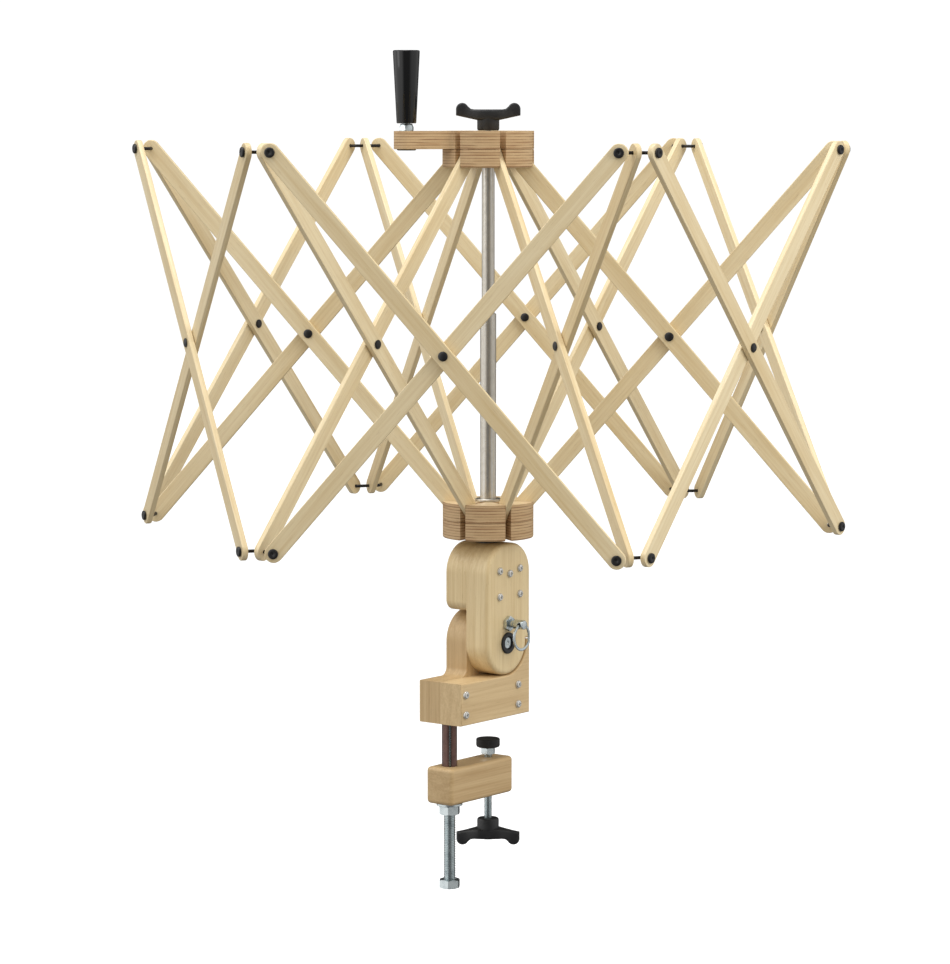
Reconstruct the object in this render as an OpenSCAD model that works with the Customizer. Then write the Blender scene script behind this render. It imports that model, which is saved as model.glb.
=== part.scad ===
// Umbrella swift with a tilting head and a screw clamp for a table edge.
// Millimetres, +Z up. The origin is on the swift's axis, on the underside of the foot.
// X runs along the tilt pivot, and the head tips over towards -Y.

/* [Arms] */
// Distance between the end holes of every slat
arm_len = 488; // [440:1:540]
// Width of every slat
slat_w = 17; // [14:0.5:19]
// Thickness of every slat
slat_t = 5.5; // [4.5:0.1:6.5]
// Angle of the slats from upright, as drawn
open_angle = 40.8; // [30:0.2:50]
// Radius at which the slats hinge in the hubs
hub_pin_r = 22; // [22:0.5:26]
// Diameter of the wire pins
wire_d = 3.2; // [2.6:0.1:3.6]
// Diameter of the caps on the pins
cap_d = 9.6; // [8:0.2:11]

/* [Hubs] */
// Diameter of both hubs
hub_d = 91; // [80:1:110]
// Thickness of one plywood disc
ply_t = 18; // [15:1:22]
// Distance of the crank handle from the axis
crank_r = 87; // [80:1:110]
// Width of the crank arm
crank_w = 25; // [22:1:34]

/* [Spindle] */
// Outside diameter of the outer tube
outer_d = 16; // [15.4:0.2:18]
// Outside diameter of the inner tube
inner_d = 12.8; // [11:0.2:13]
// Length of the outer tube above the bottom hub
outer_above = 206; // [190:2:220]
// Length of the inner tube below the top hub's pins
inner_below = 292; // [286:2:296]

/* [Crank handle and lock knob] */
// Height of the handle grip
grip_h = 71.5; // [55:0.5:90]
// Diameter of the grip at its top
grip_top_d = 26.5; // [22:0.5:30]
// Diameter of the grip at its foot
grip_foot_d = 19.5; // [16:0.5:22]
// Span of the wing knobs
wing_span = 64; // [50:1:70]

/* [Tilt head] */
// Thickness of each wooden board
board_t = 27; // [24:1:32]
// Width of the head plate
plate_w = 71; // [66:1:76]
// Height of the head plate
plate_h = 132.4; // [126:0.2:140]
// Radius of the plate's round end, about the pivot
round_r = 32.4; // [30:0.2:34]

/* [Foot and clamp] */
// Height of the foot
foot_h = 42; // [36:1:50]
// Length of the foot in front of the axis
foot_front = 78; // [77:1:90]
// Length of the foot behind the axis
foot_back = 34; // [33:1:45]
// Distance of the clamp rod in front of the axis
rod_y = 63; // [58:1:64]
// Thread diameter of the clamp rod
rod_d = 12; // [10:0.5:12]
// Thickness of the table top that the jaw is set for
table_t = 25; // [20:1:40]
// Height of the jaw block
jaw_h = 37; // [30:1:45]
// Width of the jaw block
jaw_w = 33; // [28:1:40]

/* [Hidden] */
$fn = 48;

// Running clearance between pieces that move against each other
gap = 0.3;
// Clearance between pieces that are fixed together
fit = 0.1;
// Overlap that lets a cut break through a face
cut = 1;

// Arms: number, angles and the shape of the linkage
arms = 6;
step = 360 / arms;
first_arm = step / 2;
function arm_angle(k) = first_arm + (k - 1) * step;
half_chord = step / 2;
// Each lattice hinge sits this far along the chord, so that every slat is the same length
chord_set = hub_pin_r / 2;
bend_y = chord_set / cos(half_chord);
reach = arm_len * sin(open_angle);
rise = arm_len * cos(open_angle);
tip_r = hub_pin_r + reach;
slat_gap = 0.5;
arm_off = (slat_t + slat_gap) / 2;
hole_d = wire_d + 2 * gap;

// Lattice layers, measured outwards from the bend of the tip pins
bend_d = 1.22 * wire_d;
layer_min = 2 * (arm_off + slat_t / 2 + gap + slat_w / 2 * cos(half_chord) - bend_y);
layer_in = max(bend_d / 2 + 1.5 * gap, layer_min);
in_mid = layer_in + slat_t / 2;
out_mid = in_mid + slat_t + slat_gap;
cap_t = 2.4;
cap_floor = 0.9;
cap_gap = 0.4;
head_d = 9;
head_t = 1.8;

// Tilt pivot and head
foot_gap = 0.6;
plate_r = plate_w / 2;
pivot_y = round_r - plate_r;
pivot_z = foot_h + round_r + foot_gap;
plate_top = pivot_z - round_r + plate_h;
block_lift = 0.2;
block_low = round_r + block_lift;
block_z = pivot_z + block_low;
post_gap = 0.8;
post_r = block_low - post_gap;
post_top = pivot_z + post_r;
corner_r = 30;
heel_r = 10;
root_r = 8;
seat_gap = 0.7;
// The plate's shoulder rests over the cheek's horn, which stops the head upright
shoulder_z = pivot_z + seat_gap;

// Spindle in the head
bush_wall = 2.2;
bush_d = outer_d + 2 * gap + 2 * bush_wall;
bush_len = 14;
bush_flange_w = 3;
bush_flange_d = bush_d + 2 * bush_flange_w;
bush_flange_t = 2.5;
spindle_up = 10;
spindle_low = block_z + spindle_up;
well_room = 0.5;
well_z = spindle_low - well_room;
plug_h = 31.9;
plug_top = spindle_low + plug_h;
groove_h = 27.1;
groove_z = spindle_low + groove_h;
groove_t = 5;
groove_deep = 2.5;
groove_d = outer_d - 2 * groove_deep;
stop_d = 4;
shaft_room = 1;

// Hubs
hub_lift = 2.5;
hub_low = plate_top + bush_flange_t + hub_lift;
low_z = hub_low + ply_t;
top_z = low_z + rise;
hub_top = top_z + ply_t;
glue = 0.15;
slot_room = 0.4;
slot_w = slat_t + 2 * slot_room;
slot_in = hub_pin_r - slat_w / 2 - 2 * slot_room;
pin_hold = 5;
pin_near = arm_off + slot_w / 2 + pin_hold;
pin_far = slot_w / 2 - arm_off + pin_hold;
crank_angle = 240;
collar_w = 5;
collar_d = outer_d + 2 * collar_w;
collar_t = 2.6;

// Inner tube, draw rod and expander
inner_wall = 1.6;
outer_bore = inner_d + 2 * gap;
draw_d = 6;
expand_d = inner_d - 2 * fit;
expand_t = 14;
inner_low = top_z - inner_below;
cone_floor = 2;
cone_low = inner_low - expand_t - gap;

// Crank handle
stud_d = 8;
stud_nut_af = 13;
stud_nut_t = 7;
grip_low = hub_top + stud_nut_t + gap + fit;
grip_dome = 1.2;
grip_dome_in = 1.2;
grip_over = 18;
stud_in_grip = grip_h - grip_over;
stud_inset = 1;

// Wing knobs, with their wings across the line that looks past the crank
knob_turn = 37.5;
knob_stem_d = 22;
knob_stem_h = 10;
knob_core_d = 24;
knob_core_h = 11;
knob_root_x = 7;
knob_wing_t = 10;
knob_tip_d = 12.5;
knob_tip_z = 21.2;
knob_thread = 6;

// Pivot bolt and index plunger
bolt_d = 12;
bolt_head_af = 19;
bolt_head_t = 7;
bolt_sunk = 1.7;
pivot_bush_d = 16;
pivot_flange_d = 21.6;
pivot_flange_t = 2;
index_up = 19.8;
index_d = 5;
index_travel = 4.5;
index_back = 0.8;
index_tip = 2;
plunger_d = 12;
plunger_af = 13.5;
plunger_in = 18;
plunger_hex_t = 4;
plunger_nose = plunger_hex_t + index_travel + 2 * gap;
plunger_nose_d = 7.4;
plunger_mouth = plunger_hex_t + index_travel + gap + fit;
plunger_cup = index_travel + 2 * gap;
plunger_out = 21.6;
eye_d = 9.4;
eye_end = 3.9;
ring_r = 12.5;
ring_wire = 2.4;
ring_hole = 5.1;
ring_x = board_t + plunger_out - eye_end;

// Screws
screw_d = 4;
screw_head_d = 8;
screw_head_t = 2.6;
screw_short = 8;
screw_len = 2 * board_t - screw_short;
head_screw_in = 19;
head_screw_y = plate_r - head_screw_in;
head_screw_up = 4;
head_screw_drop = 26;
head_screw_z = [groove_z + head_screw_up - head_screw_drop, groove_z + head_screw_up];
front_screw_y = -(rod_y + rod_d / 2 + screw_d / 2 + 2 * gap);
back_screw_y = 14;
foot_screw_edge = 11;
foot_screw_z = [foot_screw_edge, foot_h - foot_screw_edge];
foot_screws = [for (y = [front_screw_y, back_screw_y], z = foot_screw_z) [y, z]];

// Clamp
rod_cover = 8;
rod_top = foot_h - rod_cover;
// Height of the pad and its hexagon over the jaw
pad_over = 19;
jaw_top = -table_t - pad_over;
jaw_low = jaw_top - jaw_h;
rod_edge = 17.5;
jaw_front = rod_y + rod_edge;
jaw_back = 21;
nut_af = 19;
nut_t = 9;
washer_d = 26;
washer_t = 2.4;
nut_top = jaw_low - washer_t - gap - fit;
nut_low = nut_top - nut_t;
rod_below = 75.4;
rod_proud = 0.8;
rod_low = nut_low - rod_below;
end_nut_t = 8.8;
sleeve_wall = 1.6;
sleeve_d = rod_d + 2 * sleeve_wall;
sleeve_in = 12;
sleeve_low = jaw_top - sleeve_in;
// Room in the jaw for the sleeve when the jaw is run up
jaw_up = 9;
slit_w = 2.5;
slit_turn = 43;
// Depth of the sleeve's seat in the foot
sleeve_up = 5;
screw8_d = 8;
pad_d = 24;
pad_t = 9;
pad_socket = 5;
shoe_af = 13;
shoe_t = 6.5;
pad_top = -table_t;
shoe_top = pad_top - pad_t - gap;
shoe_low = shoe_top - shoe_t;
screw_below = 25.5;
grip_z = jaw_low - screw_below;

// Helpers

// Local x is outwards along arm k, local y is across it
module at_arm(k) {
    rotate([0, 0, arm_angle(k)]) children();
}

// A cylinder along y, centred on it
module rod_y_dir(d, len) {
    rotate([90, 0, 0]) cylinder(d = d, h = len, center = true);
}

// A cylinder along x, from x = 0
module rod_x_dir(d, len) {
    rotate([0, 90, 0]) cylinder(d = d, h = len);
}

// A hexagonal prism given across its flats
module hex(af, h) {
    cylinder(d = af / cos(30), h = h, $fn = 6);
}

// One slat along +z from its first hole, with its thickness along y
module slat() {
    difference() {
        union() {
            translate([-slat_w / 2, -slat_t / 2, 0]) cube([slat_w, slat_t, arm_len]);
            for (z = [0, arm_len]) translate([0, 0, z]) rod_y_dir(slat_w, slat_t);
        }
        for (z = [0, arm_len / 2, arm_len]) translate([0, 0, z]) rod_y_dir(hole_d, slat_t + 2 * cut);
    }
}

// A rivet along y through two slats that cross, with its near slat centred on y = 0
module cross_rivet(side) {
    span = 2 * slat_t + slat_gap + 2 * cap_gap;
    translate([0, side * (slat_t + slat_gap) / 2, 0]) {
        rod_y_dir(wire_d, span + head_t);
        for (s = [-1, 1]) translate([0, s * (span + head_t) / 2, 0]) rod_y_dir(head_d, head_t);
    }
}

// The slat from the bottom hub out to the top tip, with the rivet at its middle
module lower_arm(k) {
    at_arm(k) translate([hub_pin_r, arm_off, low_z]) rotate([0, open_angle, 0]) {
        color("#dcc79c") slat();
        color("#262422") translate([0, 0, arm_len / 2]) cross_rivet(-1);
    }
}

// The slat from the top hub out to the bottom tip
module upper_arm(k) {
    color("#d9c294") at_arm(k) translate([hub_pin_r, -arm_off, top_z])
        rotate([0, 180 - open_angle, 0]) slat();
}

// The outer slat of a chord, from the top of one tip to the bottom of the next
module lattice_out(k) {
    at_arm(k) translate([tip_r, bend_y, top_z]) rotate([0, 0, half_chord])
        translate([out_mid, 0, 0]) rotate([180 + open_angle, 0, 0]) rotate([0, 0, 90]) {
            color("#e0cda6") slat();
            color("#262422") translate([0, 0, arm_len / 2]) cross_rivet(1);
        }
}

// The inner slat of a chord, crossing the other way
module lattice_in(k) {
    color("#d6bf92") at_arm(k + 1) translate([tip_r, -bend_y, top_z]) rotate([0, 0, -half_chord])
        translate([in_mid, 0, 0]) rotate([180 - open_angle, 0, 0]) rotate([0, 0, 90]) slat();
}

// The end of a tip pin on the +y side, bent outwards and ending inside the cap outside the slat at mid
module pin_end(mid) {
    face = mid + slat_t / 2 + cap_gap;
    translate([0, bend_y, 0]) {
        rotate([0, 0, half_chord]) {
            cube(bend_d, center = true);
            rod_x_dir(wire_d, face + cap_t - cap_floor - fit);
        }
    }
}

module pin_cap(mid) {
    face = mid + slat_t / 2 + cap_gap;
    color("#161616") translate([0, bend_y, 0]) rotate([0, 0, half_chord]) translate([face, 0, 0])
        difference() {
            rod_x_dir(cap_d, cap_t);
            translate([-cut, 0, 0]) rod_x_dir(wire_d + 2 * fit, cap_t - cap_floor + cut);
        }
}

// A bent wire through an arm's tip that carries a slat of the chord on each side
module tip_pin(k, z, plus_mid, minus_mid) {
    at_arm(k) translate([tip_r, 0, z]) {
        color("#1d1b1a") union() {
            rod_y_dir(wire_d, 2 * bend_y);
            pin_end(plus_mid);
            mirror([0, 1, 0]) pin_end(minus_mid);
        }
        pin_cap(plus_mid);
        mirror([0, 1, 0]) pin_cap(minus_mid);
    }
}

module top_tip_pin(k) {
    tip_pin(k, top_z, out_mid, in_mid);
}

module bottom_tip_pin(k) {
    tip_pin(k, low_z, in_mid, out_mid);
}

// Slots and pin seats that both discs of a hub share, about the pin level
module hub_cuts(side, bore) {
    translate([0, 0, -ply_t - cut]) cylinder(d = bore, h = 2 * ply_t + 2 * cut);
    for (k = [1:arms]) at_arm(k) {
        translate([slot_in, side * arm_off - slot_w / 2, -ply_t - cut])
            cube([hub_d, slot_w, 2 * ply_t + 2 * cut]);
        hub_pin(side, wire_d + 2 * fit, fit);
    }
}

// A hinge pin across one slot
module hub_pin(side, d, over) {
    len = pin_near + pin_far + 2 * over;
    translate([hub_pin_r, side * (pin_near - pin_far) / 2, 0]) rod_y_dir(d, len);
}

module hub_pins(side) {
    color("#3a3836") for (k = [1:arms]) at_arm(k) hub_pin(side, wire_d, 0);
}

module hub_disc(z0, h) {
    translate([0, 0, z0]) cylinder(d = hub_d, h = h);
}

module bottom_hub() {
    translate([0, 0, low_z]) {
        color("#b08a5c") difference() {
            union() {
                hub_disc(-ply_t, ply_t - glue);
                hub_disc(glue, ply_t - glue);
            }
            hub_cuts(1, outer_d + 2 * fit);
        }
        hub_pins(1);
    }
}

module top_hub() {
    translate([0, 0, top_z]) {
        color("#b08a5c") difference() {
            union() {
                hub_disc(-ply_t, ply_t - glue);
                hub_disc(glue, ply_t - glue);
                rotate([0, 0, crank_angle]) {
                    translate([0, -crank_w / 2, glue]) cube([crank_r, crank_w, ply_t - glue]);
                    translate([crank_r, 0, glue]) cylinder(d = crank_w, h = ply_t - glue);
                }
            }
            hub_cuts(-1, inner_d + 2 * fit);
            rotate([0, 0, crank_angle]) translate([crank_r, 0, -cut])
                cylinder(d = stud_d + 2 * fit, h = ply_t + 2 * cut);
        }
        hub_pins(-1);
    }
}

// The turning tube, plugged at its foot, with a groove that the stop screw runs in
module outer_tube() {
    color("#b9bcc0") {
        difference() {
            translate([0, 0, spindle_low]) cylinder(d = outer_d, h = low_z + outer_above - spindle_low);
            translate([0, 0, plug_top]) cylinder(d = outer_bore, h = low_z + outer_above);
            translate([0, 0, groove_z - groove_t / 2]) difference() {
                cylinder(d = outer_d + 2 * cut, h = groove_t);
                translate([0, 0, -cut]) cylinder(d = groove_d, h = groove_t + 2 * cut);
            }
        }
        translate([0, 0, low_z + ply_t + fit]) difference() {
            cylinder(d = collar_d, h = collar_t);
            translate([0, 0, -cut]) cylinder(d = outer_d + 2 * fit, h = collar_t + 2 * cut);
        }
    }
}

module inner_tube() {
    color("#c6c9cc") difference() {
        translate([0, 0, inner_low]) cylinder(d = inner_d, h = hub_top - fit - inner_low);
        translate([0, 0, inner_low - cut])
            cylinder(d = inner_d - 2 * inner_wall, h = inner_below + 2 * ply_t);
    }
}

// A wing knob with its foot at z = 0 and its wings along x
module wing_knob(bore) {
    difference() {
        union() {
            cylinder(d = knob_stem_d, h = knob_stem_h + cut);
            translate([0, 0, knob_stem_h]) cylinder(d = knob_core_d, h = knob_core_h);
            for (s = [-1, 1]) hull() {
                translate([s * knob_root_x, 0, knob_stem_h + knob_core_h / 2])
                    rod_y_dir(knob_core_h, knob_wing_t);
                translate([s * (wing_span - knob_tip_d) / 2, 0, knob_tip_z])
                    rod_y_dir(knob_tip_d, knob_wing_t);
            }
        }
        translate([0, 0, -cut]) cylinder(d = bore, h = knob_stem_h + cut + knob_thread);
    }
}

// The lock knob on the top hub, with its draw rod and the cone that spreads the inner tube
module top_knob() {
    color("#1b1c1e") translate([0, 0, hub_top + gap]) rotate([0, 0, knob_turn]) wing_knob(draw_d + 2 * fit);
    color("#8c8f93") translate([0, 0, cone_low + cone_floor + fit])
        cylinder(d = draw_d, h = hub_top + knob_stem_h + knob_thread - cone_low - cone_floor - 2 * fit);
    color("#55585c") translate([0, 0, cone_low]) difference() {
        cylinder(d = expand_d, h = expand_t);
        translate([0, 0, cone_floor]) cylinder(d = draw_d + 2 * fit, h = expand_t);
    }
}

module at_crank() {
    rotate([0, 0, crank_angle]) translate([crank_r, 0, 0]) children();
}

module crank_handle() {
    color("#141416") at_crank() difference() {
        union() {
            translate([0, 0, grip_low]) cylinder(d1 = grip_foot_d, d2 = grip_top_d, h = grip_h - grip_dome);
            translate([0, 0, grip_low + grip_h - grip_dome])
                cylinder(d1 = grip_top_d, d2 = grip_top_d - 2 * grip_dome_in, h = grip_dome);
        }
        translate([0, 0, grip_low - cut]) cylinder(d = stud_d + 2 * gap, h = stud_in_grip + cut + gap);
    }
}

module handle_stud() {
    color("#a9acb0") at_crank() {
        translate([0, 0, hub_top - ply_t + stud_inset])
            cylinder(d = stud_d, h = ply_t + stud_nut_t + stud_in_grip - stud_inset);
        translate([0, 0, hub_top + fit]) difference() {
            hex(stud_nut_af, stud_nut_t);
            translate([0, 0, -cut]) cylinder(d = stud_d + 2 * fit, h = stud_nut_t + 2 * cut);
        }
    }
}

// Bores that the two halves of the head share
module head_cuts() {
    translate([0, 0, well_z]) cylinder(d = outer_d + 2 * shaft_room, h = plate_top);
    translate([0, 0, well_z]) cylinder(d = bush_d + 2 * fit, h = bush_len + well_room + fit);
    translate([0, 0, plate_top - bush_len - fit]) cylinder(d = bush_d + 2 * fit, h = bush_len + cut);
    for (p = head_screw_places()) translate([-screw_len + board_t - fit, p[0], p[1]])
        rod_x_dir(screw_d + 2 * fit, screw_len + cut);
    translate([0, 0, groove_z]) rod_x_dir(stop_d + 2 * fit, board_t + cut);
}

function head_screw_places() = [for (y = [-head_screw_y, head_screw_y], z = head_screw_z) [y, z]];

module tilt_block() {
    color("#d8b98a") difference() {
        union() {
            difference() {
                translate([-board_t, -plate_r, block_z]) cube([board_t - fit, plate_w, plate_top - block_z]);
                for (y = [-plate_r - cut, plate_r - corner_r])
                    translate([-board_t - cut, y, plate_top - corner_r])
                        cube([board_t + 2 * cut, corner_r + cut, corner_r + cut]);
                translate([-board_t - cut, -plate_r - cut, block_z - cut])
                    cube([board_t + 2 * cut, heel_r + cut, heel_r + cut]);
            }
            for (s = [-1, 1]) translate([-board_t, s * (plate_r - corner_r), plate_top - corner_r])
                rod_x_dir(2 * corner_r, board_t - fit);
            translate([-board_t, heel_r - plate_r, block_z + heel_r]) rod_x_dir(2 * heel_r, board_t - fit);
        }
        head_cuts();
    }
}

module tilt_plate() {
    color("#dcbf92") difference() {
        union() {
            translate([0, -plate_r, pivot_z]) cube([board_t, round_r, plate_top - corner_r - pivot_z]);
            translate([0, pivot_y, shoulder_z])
                cube([board_t, plate_r - pivot_y, plate_top - corner_r - shoulder_z]);
            translate([0, corner_r - plate_r, shoulder_z])
                cube([board_t, plate_w - 2 * corner_r, plate_top - shoulder_z]);
            for (s = [-1, 1]) translate([0, s * (plate_r - corner_r), plate_top - corner_r])
                rod_x_dir(2 * corner_r, board_t);
            translate([0, pivot_y, pivot_z]) rod_x_dir(2 * round_r, board_t);
        }
        head_cuts();
        translate([-cut, pivot_y, pivot_z]) rod_x_dir(pivot_bush_d + 2 * fit, board_t + 2 * cut);
        translate([-cut, pivot_y, pivot_z + index_up]) rod_x_dir(plunger_d + 2 * fit, board_t + 2 * cut);
    }
}

// A pan-head screw pointing along -x, with its head on x = 0
module pan_screw(d, head, len) {
    translate([-len, 0, 0]) rod_x_dir(d, len + head_t);
    translate([fit, 0, 0]) rod_x_dir(head, screw_head_t);
}

module tilt_screws() {
    color("#b4b6b8") {
        for (p = head_screw_places()) translate([board_t, p[0], p[1]])
            pan_screw(screw_d, screw_head_d, screw_len);
        translate([board_t, 0, groove_z]) pan_screw(stop_d, screw_head_d, board_t - groove_d / 2 - 2 * gap);
    }
}

// Two flanged bushes for the spindle, and the pivot's bush
module head_bushes() {
    color("#26272a") {
        translate([0, 0, well_z + well_room]) difference() {
            cylinder(d = bush_d, h = bush_len);
            translate([0, 0, -cut]) cylinder(d = outer_d + 2 * gap, h = bush_len + 2 * cut);
        }
        translate([0, 0, plate_top - bush_len]) difference() {
            union() {
                cylinder(d = bush_d, h = bush_len + cut);
                translate([0, 0, bush_len + fit]) cylinder(d = bush_flange_d, h = bush_flange_t);
            }
            translate([0, 0, -cut]) cylinder(d = outer_d + 2 * gap, h = bush_len + bush_flange_t + 2 * cut);
        }
        translate([0, pivot_y, pivot_z]) difference() {
            union() {
                translate([gap, 0, 0]) rod_x_dir(pivot_bush_d, board_t);
                translate([board_t + fit, 0, 0]) rod_x_dir(pivot_flange_d, pivot_flange_t);
            }
            translate([-cut, 0, 0]) rod_x_dir(bolt_d + 2 * gap, board_t + pivot_flange_t + 2 * cut);
        }
    }
}

module pivot_bolt() {
    color("#8f9295") translate([0, pivot_y, pivot_z]) {
        translate([-board_t - cut, 0, 0]) rod_x_dir(bolt_d, 2 * board_t + pivot_flange_t + cut - bolt_sunk);
        translate([-board_t - fit - bolt_head_t, 0, 0]) rotate([0, 90, 0]) hex(bolt_head_af, bolt_head_t);
    }
}

// The plunger's threaded body, with a hexagon against the plate
module plunger_body() {
    color("#9b9ea2") translate([0, pivot_y, pivot_z + index_up]) difference() {
        union() {
            translate([board_t - plunger_in, 0, 0]) rod_x_dir(plunger_d, plunger_in + cut);
            translate([board_t + fit, 0, 0]) rotate([0, 90, 0]) hex(plunger_af, plunger_hex_t);
            translate([board_t + cut, 0, 0]) rod_x_dir(plunger_nose_d, plunger_nose - cut);
        }
        rod_x_dir(index_d + 2 * gap, 2 * board_t);
    }
}

// The plunger's pin, drawn back clear of the post, with a knob over the nose and an eye for the ring
module plunger_pin() {
    color("#a8abaf") translate([0, pivot_y, pivot_z + index_up]) union() {
        translate([index_back, 0, 0])
            rod_x_dir(index_d, board_t + plunger_mouth + plunger_cup + fit - index_back);
        difference() {
            translate([board_t + plunger_mouth, 0, 0]) rod_x_dir(eye_d, plunger_out - plunger_mouth);
            translate([board_t + plunger_mouth - cut, 0, 0])
                rod_x_dir(plunger_nose_d + 2 * gap, plunger_cup + cut);
            translate([ring_x, 0, 0]) rod_y_dir(ring_hole, eye_d + 2 * cut);
        }
    }
}

module pull_ring() {
    color("#a8abaf") translate([ring_x, pivot_y, pivot_z + index_up - ring_r]) rotate([0, 90, 0])
        rotate_extrude() translate([ring_r, 0]) circle(d = ring_wire);
}

// Cuts that the two boards of the base share
module base_cuts() {
    translate([0, -rod_y, -cut]) cylinder(d = rod_d + 2 * fit, h = rod_top + cut + fit);
    translate([0, -rod_y, -cut]) cylinder(d = sleeve_d + 2 * fit, h = sleeve_up + cut + fit);
    for (p = foot_screws) translate([-screw_len + board_t - fit, p[0], p[1]])
        rod_x_dir(screw_d + 2 * fit, screw_len + cut);
}

module base_post_board() {
    color("#d6b584") difference() {
        union() {
            translate([-board_t, -foot_front, 0]) cube([board_t - fit, foot_front + foot_back, foot_h]);
            translate([-board_t, pivot_y - post_r, foot_h - cut])
                cube([board_t - fit, post_r + foot_back - pivot_y, pivot_z - foot_h + cut]);
            translate([-board_t, pivot_y, foot_h])
                cube([board_t - fit, foot_back - pivot_y, post_top - foot_h]);
            translate([-board_t, pivot_y, pivot_z]) rod_x_dir(2 * post_r, board_t - fit);
            difference() {
                translate([-board_t, pivot_y - post_r - root_r, foot_h - cut])
                    cube([board_t - fit, root_r + cut, root_r + cut]);
                translate([-board_t - cut, pivot_y - post_r - root_r, foot_h + root_r])
                    rod_x_dir(2 * root_r, board_t + 2 * cut);
            }
        }
        base_cuts();
        translate([-board_t - cut, pivot_y, pivot_z]) rod_x_dir(bolt_d + 2 * fit, board_t + 2 * cut);
        for (a = [0, 90]) translate([0, pivot_y, pivot_z]) rotate([a, 0, 0])
            translate([-index_travel - index_tip, 0, index_up])
                rod_x_dir(index_d + 3 * gap, index_travel + index_tip + cut);
    }
}

module base_cheek_board() {
    color("#d9ba8a") difference() {
        union() {
            translate([0, -foot_front, 0]) cube([board_t, foot_front + foot_back, foot_h]);
            translate([0, pivot_y, foot_h - cut])
                cube([board_t, foot_back - pivot_y, pivot_z - foot_h + cut]);
        }
        translate([-cut, pivot_y, pivot_z]) rod_x_dir(2 * (round_r + seat_gap), board_t + 2 * cut);
        base_cuts();
    }
}

module base_screws() {
    color("#b4b6b8") for (p = foot_screws) translate([board_t, p[0], p[1]])
        pan_screw(screw_d, screw_head_d, screw_len);
}

// The threaded rod with its end nut and the slit sleeve that guides the jaw
module clamp_rod() {
    translate([0, -rod_y, 0]) {
        color("#8d9094") translate([0, 0, rod_low]) cylinder(d = rod_d, h = rod_top - rod_low);
        color("#9a9da1") translate([0, 0, rod_low + rod_proud]) difference() {
            hex(nut_af, end_nut_t);
            translate([0, 0, -cut]) cylinder(d = rod_d + 2 * fit, h = end_nut_t + 2 * cut);
        }
        color("#2b2a2a") difference() {
            translate([0, 0, sleeve_low]) cylinder(d = sleeve_d, h = sleeve_up - sleeve_low);
            translate([0, 0, sleeve_low - cut])
                cylinder(d = rod_d + 2 * fit, h = sleeve_up - sleeve_low + 2 * cut);
            rotate([0, 0, slit_turn]) translate([-slit_w / 2, -sleeve_d, sleeve_low - cut])
                cube([slit_w, sleeve_d, sleeve_up - sleeve_low + 2 * cut]);
        }
    }
}

module clamp_jaw() {
    color("#cfae7d") difference() {
        translate([-jaw_w / 2, -jaw_front, jaw_low]) cube([jaw_w, jaw_front + jaw_back, jaw_h]);
        translate([0, -rod_y, jaw_low - cut]) cylinder(d = rod_d + 2 * gap, h = jaw_h + 2 * cut);
        translate([0, -rod_y, sleeve_low - jaw_up]) cylinder(d = sleeve_d + 2 * gap, h = jaw_h);
        translate([0, 0, jaw_low - cut]) cylinder(d = screw8_d + 2 * gap, h = jaw_h + 2 * cut);
    }
}

module jaw_nut() {
    color("#9a9da1") translate([0, -rod_y, 0]) {
        translate([0, 0, nut_low]) difference() {
            hex(nut_af, nut_t);
            translate([0, 0, -cut]) cylinder(d = rod_d + 2 * gap, h = nut_t + 2 * cut);
        }
        translate([0, 0, nut_top + fit]) difference() {
            cylinder(d = washer_d, h = washer_t);
            translate([0, 0, -cut]) cylinder(d = rod_d + 2 * gap, h = washer_t + 2 * cut);
        }
    }
}

module clamp_pad() {
    color("#2c2c2e") translate([0, 0, pad_top - pad_t]) difference() {
        cylinder(d = pad_d, h = pad_t);
        translate([0, 0, -cut]) cylinder(d = screw8_d + 2 * gap, h = pad_socket + cut);
    }
}

// The clamp screw, with a hexagon under the pad
module clamp_screw() {
    low = grip_z - knob_stem_h - knob_thread + fit;
    color("#97999d") {
        translate([0, 0, low]) cylinder(d = screw8_d, h = pad_top - pad_t + pad_socket - gap - low);
        translate([0, 0, shoe_low]) hex(shoe_af, shoe_t);
    }
}

module clamp_knob() {
    color("#1b1c1e") translate([0, 0, grip_z]) rotate([180, 0, 0]) rotate([0, 0, -knob_turn])
        wing_knob(screw8_d + 2 * fit);
}

for (k = [1:arms]) {
    lower_arm(k);
    upper_arm(k);
    lattice_out(k);
    lattice_in(k);
    top_tip_pin(k);
    bottom_tip_pin(k);
}
base_post_board();
base_cheek_board();
base_screws();
clamp_rod();
clamp_jaw();
jaw_nut();
clamp_pad();
clamp_screw();
clamp_knob();
tilt_block();
tilt_plate();
tilt_screws();
pivot_bolt();
plunger_body();
plunger_pin();
pull_ring();
head_bushes();
outer_tube();
bottom_hub();
top_hub();
inner_tube();
top_knob();
crank_handle();
handle_stud();
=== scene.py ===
# %% [markdown]
# # An umbrella swift, dressed piece by piece
# The swift is a folding reel: slats hinge between two plywood hubs, the whole cage turns on a tube, and a
# wooden head with a screw clamp holds it at a table's edge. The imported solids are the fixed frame. Every
# visible piece is rebuilt over its solid with finer edges, threads and grain, and rides on the same body.

# %% Load the frame
import math
import random

import bmesh
import bpy
from mathutils import Matrix, Vector


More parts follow.
